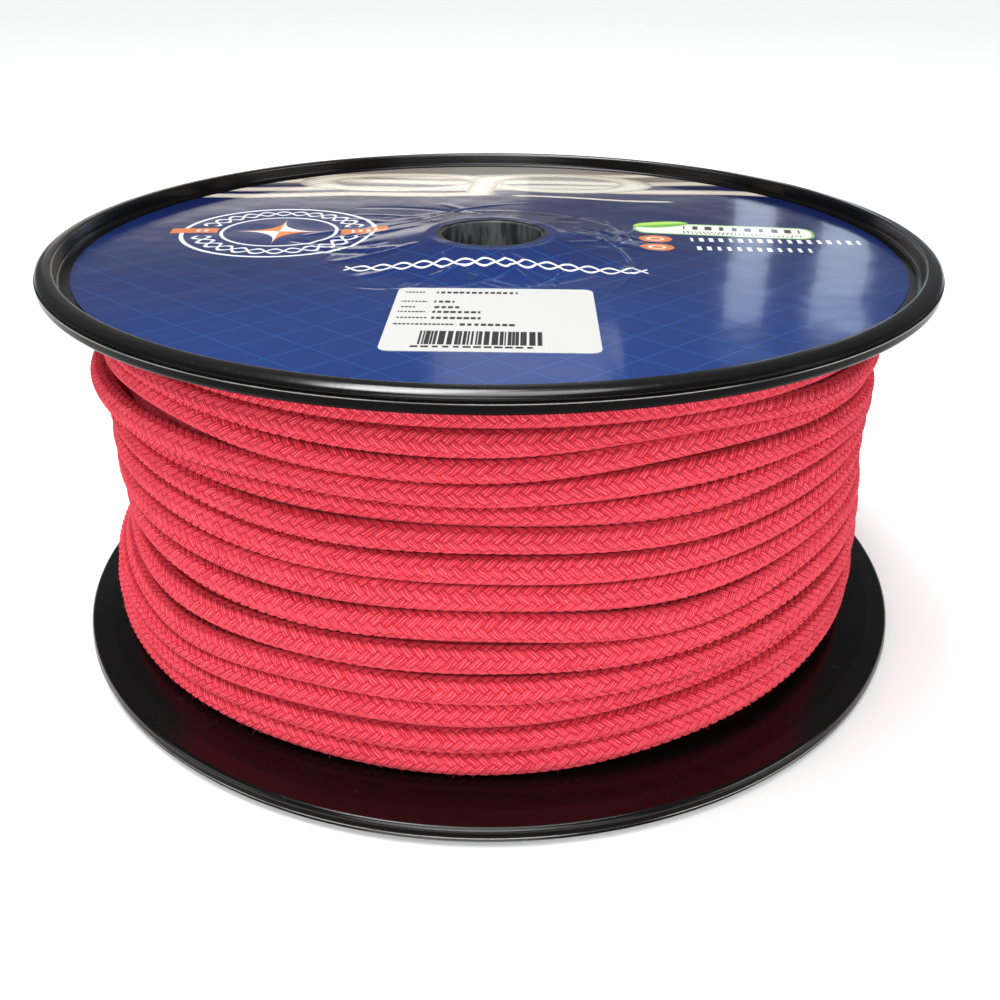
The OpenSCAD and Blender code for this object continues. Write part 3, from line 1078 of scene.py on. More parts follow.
# ---------------------------------------------------------------- reel
def plastic_material(opts, name="black_reel_plastic"):
    """Glossy black moulding with faint flow marks, handling scuffs and dust."""
    p = Pattern(name)
    x, y, z = p.source("Object")
    place = p.combine(x, y, z)
    flow = p.noise(place, 60.0, 3.0)
    scuff = p.noise(p.combine(x * 240.0, y * 240.0, z * 900.0), 1.0, 4.0, 0.65)
    dust = p.noise(place, 900.0, 2.0)
    mark = scuff.above(0.70, 0.04)
    colour = p.blend(mark * 0.12, tuple(opts.colour), (0.04, 0.037, 0.034))
    rough = flow * 0.10 + (opts.roughness - 0.03) + mark * 0.22 + dust.above(0.66, 0.06) * 0.08
    normal = p.bump(flow * 0.6 + scuff * 0.25, 0.10 * MM, 0.5)
    # the rim: polished on its sloping band, dull below the arris, pale in patches along the arris, part wear
    # and part painted highlight
    radius = (x * x + y * y).math("SQRT")
    depth = z.least((z - TOTAL_H).absolute())
    rim = radius.above(FOOT_R - 1.0 * MM, 0.5 * MM)
    band = rim * depth.below(2.9 * MM, 0.2 * MM)
    shoulder = depth.above(4.9 * MM, 0.25 * MM) * z.below(TOTAL_H / 2, 1.0 * MM)
    wall = depth.above(3.35 * MM, 0.15 * MM) * (1.0 - shoulder)
    dull = rim * wall * radius.above(FLANGE_R - 3.0 * MM, 0.5 * MM)
    crest = rim * depth.below(1.0 * MM, 0.3 * MM)
    gloss = band * 0.08 + crest * 0.45 + rim * shoulder * 0.14 + 0.26 - dull * 0.20
    chip = p.noise(p.combine(x * 900.0, y * 900.0, z * 1500.0), 1.0, 3.0, 0.7)
    patch = p.noise(place, 22.0, 1.0)
    # pale patches along the arris line: part wear, part painted highlight
    line = ((depth - 3.07 * MM).absolute() - chip * 0.22 * MM).below(0.03 * MM, 0.05 * MM)
    wear_and_glint = line * rim * radius.above(FLANGE_R - 0.7 * MM, 0.1 * MM) * patch.above(0.47, 0.08)
    colour = p.blend(wear_and_glint * 0.6, colour, (0.42, 0.42, 0.41))
    return p.set(Base_Color=colour, Roughness=rough, Normal=normal, Specular_IOR_Level=gloss)


def flange_outline():
    """Half section of the lower flange, from the axis side round the rim and back."""
    crown_in = FOOT_R + 0.9 * MM
    crown_out = crown_in + 1.5 * MM
    points = [(SPIGOT_R - SPIGOT_T, WEB_Z)]
    # foot of the rim and its inner wall
    for k in range(7):
        a = math.radians(90 - 15 * k)
        points.append((
            FOOT_R - 1.6 * MM + 1.6 * MM * math.cos(a), WEB_Z - 1.6 * MM + 1.6 * MM * math.sin(a)))
    for k in range(6):
        a = math.radians(180 + 18 * k)
        points.append((crown_in + 0.9 * MM * math.cos(a), 0.9 * MM + 0.9 * MM * math.sin(a)))
    # convex sloping band, a groove, then the sharp arris where the mould parted
    slope_r = FLANGE_R - 0.4 * MM
    slope_z = 1.75 * MM
    for k in range(1, 9):
        a = math.radians(62 * k / 8)
        points.append((
            crown_out + (slope_r - crown_out) * math.sin(a) / math.sin(math.radians(62)),
            slope_z * (1 - math.cos(a)) / (1 - math.cos(math.radians(62)))))
    points.append((slope_r - 0.42 * MM, slope_z + 0.40 * MM))
    points.append((slope_r - 0.46 * MM, slope_z + 0.75 * MM))
    points.append((slope_r - 0.20 * MM, slope_z + 1.00 * MM))
    points.append((FLANGE_R - 0.05 * MM, slope_z + 1.12 * MM))
    points.append((FLANGE_R, slope_z + 1.32 * MM))
    points.append((FLANGE_R - 0.12 * MM, slope_z + 1.50 * MM))
    edge_z = DECK_Z - 1.9 * MM
    under = 1.7 * MM
    for k in range(8):
        a = math.radians(90 * k / 7)
        points.append((
            FLANGE_R - 0.12 * MM - under + under * math.cos(a), edge_z - under + under * math.sin(a)))
    points.append((FLANGE_R - 5.0 * MM, edge_z + 0.02 * MM))
    points.append((WOUND_R + 3.0 * MM, DECK_Z - 0.15 * MM))
    points.append((WOUND_R - 2.0 * MM, DECK_Z))
    points.append((SPIGOT_R + 0.1 * MM, DECK_Z))
    points.append((SPIGOT_R - 0.1 * MM, DECK_Z + 0.2 * MM))
    points.append((SPIGOT_R, FLOOR_Z + WEB_T))
    points.append((SLEEVE_IN, FLOOR_Z + WEB_T))
    points.append((SLEEVE_IN, SLEEVE_DROP + 0.3 * MM))
    points.append((SLEEVE_IN + 0.3 * MM, SLEEVE_DROP))
    points.append((SLEEVE_R - 0.4 * MM, SLEEVE_DROP))
    points.append((SLEEVE_R, SLEEVE_DROP + 0.4 * MM))
    points.append((SLEEVE_R, FLOOR_Z - 0.6 * MM))
    points.append((SLEEVE_R + 0.6 * MM, FLOOR_Z))
    points.append((SPIGOT_R - SPIGOT_T - 0.6 * MM, FLOOR_Z))
    points.append((SPIGOT_R - SPIGOT_T, FLOOR_Z - 0.6 * MM))
    return points


def mirrored(points):
    return [(r, TOTAL_H - h) for r, h in points]


def ring_of_pieces(name, part, count, radius, turn, levels, material):
    """Repeats a small mesh at even angles and at each level with a Geometry Nodes tree."""
    tree, enter = node_group(name + "_ring", (
        ("Part", "Object"), ("Count", "Int"), ("Radius", "Float"), ("Turn", "Float"),
        ("Material", "Material")))
    nodes, links = tree.nodes, tree.links
    circle = nodes.new("GeometryNodeMeshCircle")
    links.new(enter.outputs["Count"], circle.inputs["Vertices"])
    links.new(enter.outputs["Radius"], circle.inputs["Radius"])
    info = nodes.new("GeometryNodeObjectInfo")
    links.new(enter.outputs["Part"], info.inputs["Object"])
    index = nodes.new("GeometryNodeInputIndex")
    share = nodes.new("ShaderNodeMath")
    share.operation = "DIVIDE"
    links.new(index.outputs[0], share.inputs[0])
    links.new(enter.outputs["Count"], share.inputs[1])
    whole = nodes.new("ShaderNodeMath")
    whole.operation = "MULTIPLY"
    whole.inputs[1].default_value = 2 * math.pi
    links.new(share.outputs[0], whole.inputs[0])
    spin = nodes.new("ShaderNodeCombineXYZ")
    links.new(whole.outputs[0], spin.inputs[2])
    place = nodes.new("GeometryNodeInstanceOnPoints")
    links.new(circle.outputs["Mesh"], place.inputs["Points"])
    links.new(info.outputs["Geometry"], place.inputs["Instance"])
    links.new(spin.outputs[0], place.inputs["Rotation"])
    turn_all = nodes.new("GeometryNodeTransform")
    angle = nodes.new("ShaderNodeCombineXYZ")
    links.new(enter.outputs["Turn"], angle.inputs[2])
    links.new(place.outputs[0], turn_all.inputs["Geometry"])
    links.new(angle.outputs[0], turn_all.inputs["Rotation"])
    close_group(tree, enter, turn_all.outputs[0])

    host = link_object(name + "_host", bpy.data.meshes.new(name + "_seed"))
    mesh = run_group(host, tree, {
        "Part": part, "Count": count, "Radius": radius, "Turn": turn, "Material": material})
    bpy.data.objects.remove(part)
    co = mesh_points(mesh)
    sides = [tuple(p.vertices) for p in mesh.polygons]
    verts, faces = [], []
    for flip, level in levels:
        base = len(verts)
        moved = co.copy()
        moved[:, 2] = level - moved[:, 2] if flip else level + moved[:, 2]
        verts.extend(map(tuple, moved))
        for face in sides:
            ring = [base + k for k in face]
            faces.append(ring[::-1] if flip else ring)
    whole_mesh = bpy.data.meshes.new(name)
    whole_mesh.from_pydata(verts, [], faces)
    bpy.data.meshes.remove(mesh)
    obj = new_object(name, whole_mesh, material)
    mark_sharp(obj, 30.0)
    return obj


def small_solid(name, outline, sides):
    """A short turned or prismatic part about +Z, from a (radius, height) outline."""
    verts, faces = [], []
    count = len(outline)
    for s in range(sides):
        a = 2 * math.pi * s / sides
        for r, h in outline:
            verts.append((r * math.cos(a), r * math.sin(a), h))
    for s in range(sides):
        nxt = (s + 1) % sides
        for k in range(count - 1):
            faces.append((s * count + k, nxt * count + k, nxt * count + k + 1, s * count + k + 1))
    faces.append([s * count for s in range(sides)][::-1])
    faces.append([s * count + count - 1 for s in range(sides)])
    mesh = bpy.data.meshes.new(name)
    mesh.from_pydata(verts, [], faces)
    return link_object(name, mesh)


def box_solid(name, low, high, edge):
    """A bevelled bar between two corners."""
    bm = bmesh.new()
    corners = [bm.verts.new((x, y, z)) for z in (low[2], high[2]) for y in (low[1], high[1])
               for x in (low[0], high[0])]
    for ring in ((0, 2, 3, 1), (4, 5, 7, 6), (0, 1, 5, 4), (2, 6, 7, 3), (0, 4, 6, 2), (1, 3, 7, 5)):
        bm.faces.new([corners[k] for k in ring])
    bmesh.ops.recalc_face_normals(bm, faces=bm.faces)
    bmesh.ops.bevel(bm, geom=list(bm.edges), offset=edge, segments=2, affect="EDGES", profile=0.5)
    mesh = bpy.data.meshes.new(name)
    bm.to_mesh(mesh)
    bm.free()
    return link_object(name, mesh)


def metal_material(name, colour):
    p = Pattern(name)
    x, y, z = p.source("Object")
    place = p.combine(x, y, z)
    bloom = p.noise(place, 420.0, 3.0)
    shade = p.blend(bloom, tuple(c * 0.82 for c in colour), colour)
    normal = p.bump(bloom, 0.05 * MM, 0.5)
    return p.set(Base_Color=shade, Metallic=1.0, Roughness=bloom * 0.18 + 0.26, Normal=normal)


def build_reel(opts):
    plastic = plastic_material(opts)
    outline = flange_outline()
    pairs = (
        ("bottom_flange_moulding", outline, "bottom_flange"),
        ("top_flange_moulding", mirrored(outline), "top_flange"),
    )
    for name, section, node in pairs:
        flange = spin_profile(name, section, 360, plastic)
        dress(flange, node)

    reach = (SPIGOT_R - SPIGOT_T - SLEEVE_R) / 2 + 0.4 * MM
    rib = box_solid(
        "rib_part", (-reach, -1.1 * MM, 0.0), (reach, 1.1 * MM, FLOOR_Z - WEB_Z - 1.0 * MM), 0.25 * MM)
    ribs = ring_of_pieces(
        "pocket_ribs", rib, 8, (SPIGOT_R - SPIGOT_T + SLEEVE_R) / 2, 0.0,
        ((False, WEB_Z + 1.2 * MM), (True, TOTAL_H - WEB_Z - 1.2 * MM)), plastic)
    dress(ribs)

    barrel = spin_profile("barrel_tube", fillet([
        (BARREL_R - 3.0 * MM, DECK_Z), (BARREL_R, DECK_Z), (BARREL_R, DECK_TOP),
        (BARREL_R - 3.0 * MM, DECK_TOP)], 0.4 * MM), 128, plastic_material(opts, "barrel_black_plastic"))
    dress(barrel, "barrel")

    arbor = spin_profile("arbor_core", fillet([
        (BORE_R, ARBOR_LOW.z), (ARBOR_R, ARBOR_LOW.z), (ARBOR_R, ARBOR_HIGH.z), (BORE_R, ARBOR_HIGH.z)],
        0.7 * MM), 128, tube_material())
    dress(arbor, "arbor_tube")

    steel = metal_material("zinc_plated_steel", (0.62, 0.63, 0.65))
    head_z = TOTAL_H - 2 * FLOOR_Z
    shank = small_solid("shank_part", [
        (2.3 * MM, -6.4 * MM), (2.5 * MM, -6.2 * MM), (2.5 * MM, head_z + 1.0 * MM),
        (4.6 * MM, head_z + 1.0 * MM), (4.5 * MM, head_z + 2.8 * MM),
        (3.6 * MM, head_z + 4.0 * MM), (1.4 * MM, head_z + 4.1 * MM)], 20)
    bolts = ring_of_pieces("tie_bolt_set", shank, 4, TIE_R, TIE_TURN, ((False, FLOOR_Z),), steel)
    dress(bolts, "tie_bolts")
    disc = small_solid("washer_part", [
        (4.7 * MM, 0.0), (5.0 * MM, 0.2 * MM), (5.0 * MM, 0.8 * MM), (4.7 * MM, 1.0 * MM)], 28)
    washers = ring_of_pieces(
        "tie_washer_set", disc, 4, TIE_R, TIE_TURN, ((True, FLOOR_Z), (False, TOTAL_H - FLOOR_Z)),
        metal_material("zinc_plated_washer", (0.66, 0.66, 0.68)))
    dress(washers, "tie_washers")
    hexagon = small_solid("nut_part", [
        (4.1 * MM, 1.0 * MM), (4.62 * MM, 1.4 * MM), (4.62 * MM, 4.6 * MM), (4.1 * MM, 5.0 * MM)], 6)
    nuts = ring_of_pieces(
        "tie_nut_set", hexagon, 4, TIE_R, TIE_TURN, ((True, FLOOR_Z),),
        metal_material("zinc_plated_nut", (0.60, 0.61, 0.62)))
    dress(nuts, "tie_nuts")


def tube_material():
    """Matt black pipe with length-wise wear."""
    p = Pattern("arbor_pipe_plastic")
    x, y, z = p.source("Object")
    wear = p.noise(p.combine(x * 3.0, y * 3.0, z * 0.6), 140.0, 4.0, 0.6)
    colour = p.blend(wear.above(0.52, 0.12), (0.010, 0.010, 0.011), (0.055, 0.058, 0.062))
    return p.set(Base_Color=colour, Roughness=wear * 0.3 + 0.30, Normal=p.bump(wear, 0.2 * MM, 0.6))


# ---------------------------------------------------------------- labels
def face_print(opts):
    """Glossy printed film: blue grid, emblem, marks, banner and a band of pictured rope."""
    p = Pattern("printed_face_film")
    x, y, _ = p.source("Object")
    x = x / MM
    y = y / MM
    soft = 0.28

    def line_along(angle, gap, width):
        c, s = math.cos(math.radians(angle)), math.sin(math.radians(angle))
        return (((x * c + y * s) / gap).fraction() - 0.5).absolute().below(width / gap / 2, 0.12 / gap)

    def turned(cx, cy, degrees):
        c, s = math.cos(math.radians(degrees)), math.sin(math.radians(degrees))
        dx, dy = x - cx, y - cy
        return dx * c + dy * s, dy * c - dx * s

    def rounded(dx, dy, w, h, r):
        qx = (dx.absolute() - (w / 2 - r)).most(0.0)
        qy = (dy.absolute() - (h / 2 - r)).most(0.0)
        return (qx * qx + qy * qy).math("SQRT").below(r, soft)

    def marks(dx, dy, w, h, pitch, fill, seed):
        """A row of short plain blocks of uneven width, in groups."""
        cell = (dx / pitch).floor()
        chance = p.hashed(p.combine(cell, seed, 0.0))
        stroke = ((dx / pitch).fraction() - 0.5).absolute()
        block = (stroke - chance * 0.12).below(fill / 2, 0.06)
        word = p.hashed(p.combine((dx / (pitch * 6.0)).floor(), seed + 3.0, 1.0)).above(0.12, 0.01)
        return block * rounded(dx, dy, w, h, 0.4) * word

    def twine(along, offset, turns, swing, thick):
        """Two waves crossing each other, like a laid cord seen from the side."""
        first = (offset - (along * turns).wave() * swing).absolute().below(thick, soft)
        second = (offset + (along * turns).wave() * swing).absolute().below(thick, soft)
        return first.most(second)

    white = (0.80, 0.82, 0.84)
    cloud = p.noise(p.combine(x * 0.008, y * 0.008, 0.0), 1.0, 2.0)
    depth = (y * -0.0042 + 0.42 + (cloud - 0.5) * 0.6)
    colour = p.ramp(depth, ((0.0, tuple(opts.navy)), (0.5, (0.0052, 0.0155, 0.090)), (1.0, tuple(opts.blue))))

    front = y.below(12.0, 26.0)
    grid = line_along(48.0, 13.5, 0.42).most(line_along(-48.0, 13.5, 0.42))
    colour = p.blend(grid * front * 0.34, colour, (0.012, 0.13, 0.42))

    # pictured rope across the back, with a bow round its middle
    drift = (x * 0.012).wave() * 1.6 + p.noise(p.combine(x * 0.02, 0.0, 0.0), 1.0) * 3.0
    sky_band = y.above(104.0, 5.0) * x.above(-125.0, 12.0)
    colour = p.blend(sky_band * 0.75, colour, (0.30, 0.26, 0.21))
    lay = ((x * 0.62 + y * 0.9) / 3.6).wave() * 0.5 + 0.5
    fleck = p.noise(p.combine(x * 0.5, y * 0.9, 0.0), 1.0, 3.0)
    shadow, light = (0.10, 0.075, 0.05), (0.80, 0.74, 0.63)
    for level, slope, thick, lo, hi in (
        (121.0, 0.030, 8.0, -92.0, 150.0), (84.0, 0.050, 8.0, -150.0, 0.0),
        (94.5, -0.095, 9.0, -10.0, 150.0), (80.0, -0.15, 3.0, 10.0, 75.0),
        (95.0, 0.030, 8.5, -150.0, 62.0), (107.0, -0.030, 9.0, -150.0, 150.0),
    ):
        away = (y - level - x * slope - drift).absolute() / (thick / 2)
        strand = away.below(1.0, 0.06) * x.above(lo, 4.0) * x.below(hi, 4.0)
        body = (1.0 - away * away * 0.62) * (lay * 0.30 + fleck * 0.40 + 0.42)
        colour = p.blend(strand, colour, p.blend(body, shadow, (0.78, 0.72, 0.61)))
    for cx, cy, wx, wy, tilt in ((-40.0, 109.0, 38.0, 16.0, 3.0), (31.0, 107.0, 34.0, 17.0, -8.0)):
        dx, dy = turned(cx, cy, tilt)
        ring = ((dx / wx) * (dx / wx) + (dy / wy) * (dy / wy)).math("SQRT")
        away = (ring - 1.0).absolute() / 0.22
        body = (1.0 - away * away * 0.62) * (lay * 0.30 + fleck * 0.40 + 0.42)
        colour = p.blend(away.below(1.0, 0.1), colour, p.blend(body, shadow, light))
    dx, dy = turned(-4.0, 98.0, 82.0)
    away = dy.absolute() / 6.0
    body = (1.0 - away * away * 0.7) * (lay * 0.30 + fleck * 0.30 + 0.5)
    colour = p.blend(rounded(dx, dy, 30.0, 12.0, 4.0), colour, p.blend(body, shadow, light))

    # emblem: two rings, a belt of crossing waves, a four-pointed star and two tabs
    ex, ey = -80.0, 18.0
    dx, dy = turned(ex, ey, 0.0)
    away = (dx * dx + dy * dy).math("SQRT")
    inside = away.below(36.5, soft)
    colour = p.blend(inside, colour, (0.006, 0.019, 0.10))
    rings = (away - 36.0).absolute().below(0.75, soft).most((away - 21.5).absolute().below(0.6, soft))
    around = dy.math("ARCTAN2", dx) / (2 * math.pi)
    belt = twine(around, away - 28.8, 14.0, 3.0, 0.75) * dy.absolute().above(7.5, 0.5)
    belt = belt * (away - 28.8).absolute().below(4.6, soft)
    blade = (dx.absolute() * dy.absolute()).math("SQRT")
    star = (blade * 2.0 + away * 0.62).below(12.2, 0.5)
    lit = (dx * dy).above(0.0, 0.4)
    colour = p.blend(rings.most(belt), colour, white)
    colour = p.blend(star, colour, p.blend(lit, (0.72, 0.20, 0.05), (0.82, 0.80, 0.76)))
    for side in (-1.0, 1.0):
        tx, ty = turned(ex + side * 32.0, ey + 0.4, 3.0)
        tab = rounded(tx, ty, 17.5, 7.0, 0.6)
        colour = p.blend(tab, colour, (0.62, 0.17, 0.05))
        colour = p.blend(marks(tx, ty, 13.0, 3.0, 2.9, 0.32, 11.0 + side), colour, (0.75, 0.62, 0.50))

    # crossing waves under the hub, like a laid cord
    dx, dy = turned(1.5, -33.6, -1.6)
    cord_line = twine(dx, dy, 1.0 / 14.0, 2.7, 0.72) * rounded(dx, dy, 102.0, 8.0, 1.0)
    colour = p.blend(cord_line, colour, white)

    # banner with a leaf, and two dots with marks beside them
    dx, dy = turned(88.5, 21.5, -9.0)
    banner = rounded(dx, dy, 66.0, 15.0, 5.5)
    edge = rounded(dx, dy, 68.0, 17.0, 6.0)
    colour = p.blend(edge, colour, (0.20, 0.42, 0.08))
    colour = p.blend(banner, colour, (0.74, 0.78, 0.70))
    dark = (0.05, 0.05, 0.05)
    colour = p.blend(marks(dx - 7.0, dy - 2.6, 44.0, 5.6, 5.0, 0.30, 4.0), colour, dark)
    colour = p.blend(marks(dx - 7.0, dy + 3.6, 46.0, 1.5, 1.5, 0.30, 5.0), colour, dark)
    colour = p.blend(marks(dx - 7.0, dy + 5.6, 44.0, 1.5, 1.6, 0.30, 6.0), colour, dark)
    lx, ly = turned(66.0, 31.0, 12.0)
    leaf = ((lx / 11.0) * (lx / 11.0) + (ly / 4.4) * (ly / 4.4)).below(1.0, 0.12)
    colour = p.blend(leaf, colour, p.blend(ly.above(0.0, 0.3), (0.16, 0.42, 0.05), (0.42, 0.66, 0.12)))
    for cx, cy, length, seed in ((61.0, 9.0, 62.0, 8.0), (60.0, -3.2, 44.0, 9.0)):
        dx, dy = turned(cx, cy, -4.0)
        dot = ((dx / 6.2) * (dx / 6.2) + (dy / 5.0) * (dy / 5.0)).math("SQRT")
        colour = p.blend(dot.below(1.0, 0.05), colour, (0.62, 0.19, 0.06))
        colour = p.blend((dot - 0.45).absolute().below(0.09, 0.05), colour, (0.85, 0.70, 0.60))
        colour = p.blend(marks(dx - 13.0 - length / 2, dy, length, 5.0, 3.6, 0.28, seed), colour, white)

    # pale flecks over the film, and the film near black round the hole, with a ragged edge
    radius = (x * x + y * y).math("SQRT")
    speck = p.noise(p.combine(x * 0.35, y * 0.35, 0.0), 1.0, 4.0, 0.7)
    colour = p.blend(speck.above(0.80, 0.02) * 0.6, colour, (0.5, 0.55, 0.6))
    rough_edge = (radius + speck * 3.0).below(21.6, 0.5)
    colour = p.blend(rough_edge, colour, (0.012, 0.013, 0.016))
    ripple = p.noise(p.combine(x * 0.03, y * 0.03, 0.0), 1.0, 2.0)
    grain = p.noise(p.combine(x * 0.9, y * 0.9, 0.0), 1.0, 2.0)
    normal = p.bump(ripple * 2.2 + grain * 0.02, 0.35 * MM, 0.5)
    p.set(Base_Color=colour, Roughness=grain * 0.05 + 0.11, Normal=normal, Specular_IOR_Level=0.5)
    return p.set(Coat_Weight=0.25, Coat_Roughness=0.05)


def face_height(x, y, crease):
    """Height of the film's top: flat outside, tented and creased up to the hub."""
    r = np.hypot(x, y)
    angle = np.arctan2(y, x)
    top = LABEL_TOP - 0.02 * MM
    f = np.clip((TENT_R - r) / (TENT_R - SLEEVE_R), 0.0, 1.0)
    base = (LABEL_Z - 0.02 * MM) + (top - LABEL_Z) * f ** 1.25
    rng = np.random.default_rng(21)
    folds = np.zeros_like(r)
    for k in range(46):
        start = rng.uniform(0, 2 * math.pi)
        inner = rng.uniform(26, 46) * MM
        reach = rng.uniform(14, 40) * MM
        bend = rng.uniform(-0.035, 0.035)
        width = rng.uniform(0.7, 2.4) * MM
        size = rng.uniform(0.3, 1.0) * (1 if k % 3 else -0.7)
        centre = start + bend * (r - inner) / MM
        off = (np.mod(angle - centre + math.pi, 2 * math.pi) - math.pi) * r
        along = np.clip((r - inner) / (5 * MM), 0, 1) * np.clip((inner + reach - r) / (9 * MM), 0, 1)
        folds += size * np.exp(-np.abs(off / width) ** 1.5) * along
    rise = crease * np.clip(folds, -1.2, 1.6)
    clear = np.clip((-y - 52 * MM) / (3 * MM), 0, 1) * np.clip((36 * MM - np.abs(x)) / (3 * MM), 0, 1)
    rise = rise * (1 - clear)
    swell = 0.10 * MM * np.sin(angle * 3 + r / (21 * MM)) * np.clip((LABEL_R - r) / (9 * MM), 0, 1)
    swell = swell * (1 - clear)
    height = base + rise + swell
    return np.clip(height, WEB_TOP + 0.12 * MM, top)


def build_labels(opts):
    """The printed film over the top flange, and the white stock label stuck on it."""
    hole = BORE_R + 0.9 * MM
    radii = np.concatenate([
        np.linspace(hole, 30 * MM, 16), np.linspace(30.4 * MM, 92 * MM, 118),
        np.linspace(93 * MM, LABEL_R, 26)])
    segments = 480
    angle = np.arange(segments) * 2 * math.pi / segments
    ragged = 1 + 0.02 * np.sin(angle * 5 + 1) + 0.012 * np.sin(angle * 17)
    rr = np.repeat(radii[None, :], segments, axis=0)
    near = np.clip((26 * MM - rr) / (6 * MM), 0, 1)
    rr = rr * (1 + (ragged[:, None] - 1) * near)
    x = rr * np.cos(angle)[:, None]
    y = rr * np.sin(angle)[:, None]
    top = face_height(x, y, opts.crease)
    upper = np.stack([x, y, top], axis=-1)
    lower = np.stack([x, y, top - 0.10 * MM], axis=-1)
    loop = np.concatenate([upper, lower[:, ::-1]], axis=1)
    verts = loop.reshape(-1, 3)
    quads = ring_quads(verts, segments, loop.shape[1])
    film = new_object("face_film", mesh_from("face_film", verts, quads), face_print(opts))
    mark_sharp(film, 40.0)
    dress(film, "face_label")

    build_stock_label()


def build_stock_label():
    """A white paper label with rounded corners, lying on the film."""
    w, h, corner = 61.5 * MM, 58.0 * MM, 3.0 * MM
    centre = np.array([0.5 * MM, -84.0 * MM])
    turn = math.radians(-1.9)
    cells = 40
    line_x = np.linspace(-w / 2, w / 2, cells + 1)
    line_y = np.linspace(-h / 2, h / 2, cells + 1)
    gx, gy = np.meshgrid(line_x, line_y, indexing="ij")
    # pull the grid's corners onto their arcs
    qx = np.clip(np.abs(gx) - (w / 2 - corner), 0, None)
    qy = np.clip(np.abs(gy) - (h / 2 - corner), 0, None)
    over = np.hypot(qx, qy)
    reach = np.maximum(qx, qy)
    shrink = np.where(over > 1e-9, reach / np.maximum(over, 1e-9), 1.0)
    gx2 = np.sign(gx) * (np.minimum(np.abs(gx), w / 2 - corner) + qx * shrink)
    gy2 = np.sign(gy) * (np.minimum(np.abs(gy), h / 2 - corner) + qy * shrink)
    c, s = math.cos(turn), math.sin(turn)
    x = centre[0] + gx2 * c - gy2 * s
    y = centre[1] + gx2 * s + gy2 * c
    top_z = STOCK_HIGH.z
    bow = 0.05 * MM * np.sin(gx2 / w * 5.0) * np.sin(gy2 / h * 4.0)
    upper = np.stack([x, y, np.minimum(top_z + bow, top_z)], axis=-1).reshape(-1, 3)
    lower = upper.copy()
    lower[:, 2] = STOCK_LOW.z + 0.01 * MM
    mesh = mesh_from(
        "stock_paper", np.concatenate([upper, lower]), slab_quads(cells + 1, cells + 1))
    paper = new_object("stock_paper", mesh, stock_print(centre, turn))
    mark_sharp(paper, 40.0)
    dress(paper, "stock_label")


def stock_print(centre, turn):
    """White paper with rows of plain dark bars and a block of upright stripes."""
    p = Pattern("white_stock_paper")
    x, y, _ = p.source("Object")
    c, s = math.cos(turn), math.sin(turn)
    dx = x / MM - centre[0] / MM
    dy = y / MM - centre[1] / MM
    u = dx * c + dy * s
    v = dy * c - dx * s
    ink = None
    rows = (
        (-25.2, 24.3, 6.0, 1.3, 1.15, 1.0), (-5.7, 24.3, 25.4, 2.1, 1.95, 2.0),
        (-24.6, 14.9, 8.0, 1.3, 1.15, 3.0), (-15.4, 14.9, 6.2, 2.1, 2.05, 4.0),
        (-26.0, 9.4, 5.0, 1.3, 1.15, 5.0), (-14.2, 9.4, 8.4, 2.1, 2.05, 6.0),
        (-24.6, 4.8, 8.2, 1.3, 1.15, 7.0), (-11.1, 4.8, 14.4, 2.1, 2.05, 8.0),
        (-24.0, -0.8, 9.4, 1.3, 1.15, 9.0), (-10.9, -0.8, 14.6, 2.1, 2.05, 10.0),
        (-20.0, -6.6, 18.0, 1.4, 1.25, 11.0), (-1.5, -6.6, 16.4, 2.1, 2.05, 12.0),
        (-5.0, -25.4, 35.0, 1.5, 2.9, 13.0),
    )
    for cx, cy, w, h, pitch, seed in rows:
        a = u - cx
        b = v - cy
        cell = (a / pitch).floor()
        chance = p.hashed(p.combine(cell, seed, 0.0))
        stroke = ((a / pitch).fraction() - 0.5).absolute()
        bar = (stroke - chance * 0.14).below(0.28, 0.07)
        inside = a.absolute().below(w / 2, 0.1) * b.absolute().below(h / 2, 0.12)
        row = bar * inside
        ink = row if ink is None else ink.most(row)
    for pitch, seed in ((1.15, 31.0), (2.1, 32.0)):
        cell = (u / pitch).floor()
        chance = p.hashed(p.combine(cell, seed, 0.0))
        stripe = ((u / pitch).fraction() - 0.5).absolute() - chance * 0.26
        inside = (u + 3.1).absolute().below(17.5, 0.08) * (v + 18.0).absolute().below(5.7, 0.1)
        ink = ink.most(stripe.below(0.12, 0.05) * inside)
    fibre = p.noise(p.combine(u, v, 0.0), 1.4, 3.0)
    paper = p.blend(fibre, (0.50, 0.50, 0.485), (0.56, 0.56, 0.545))
    colour = p.blend(ink, paper, (0.012, 0.012, 0.014))
    return p.set(Base_Color=colour, Roughness=0.42, Normal=p.bump(fibre, 0.02 * MM, 0.4))


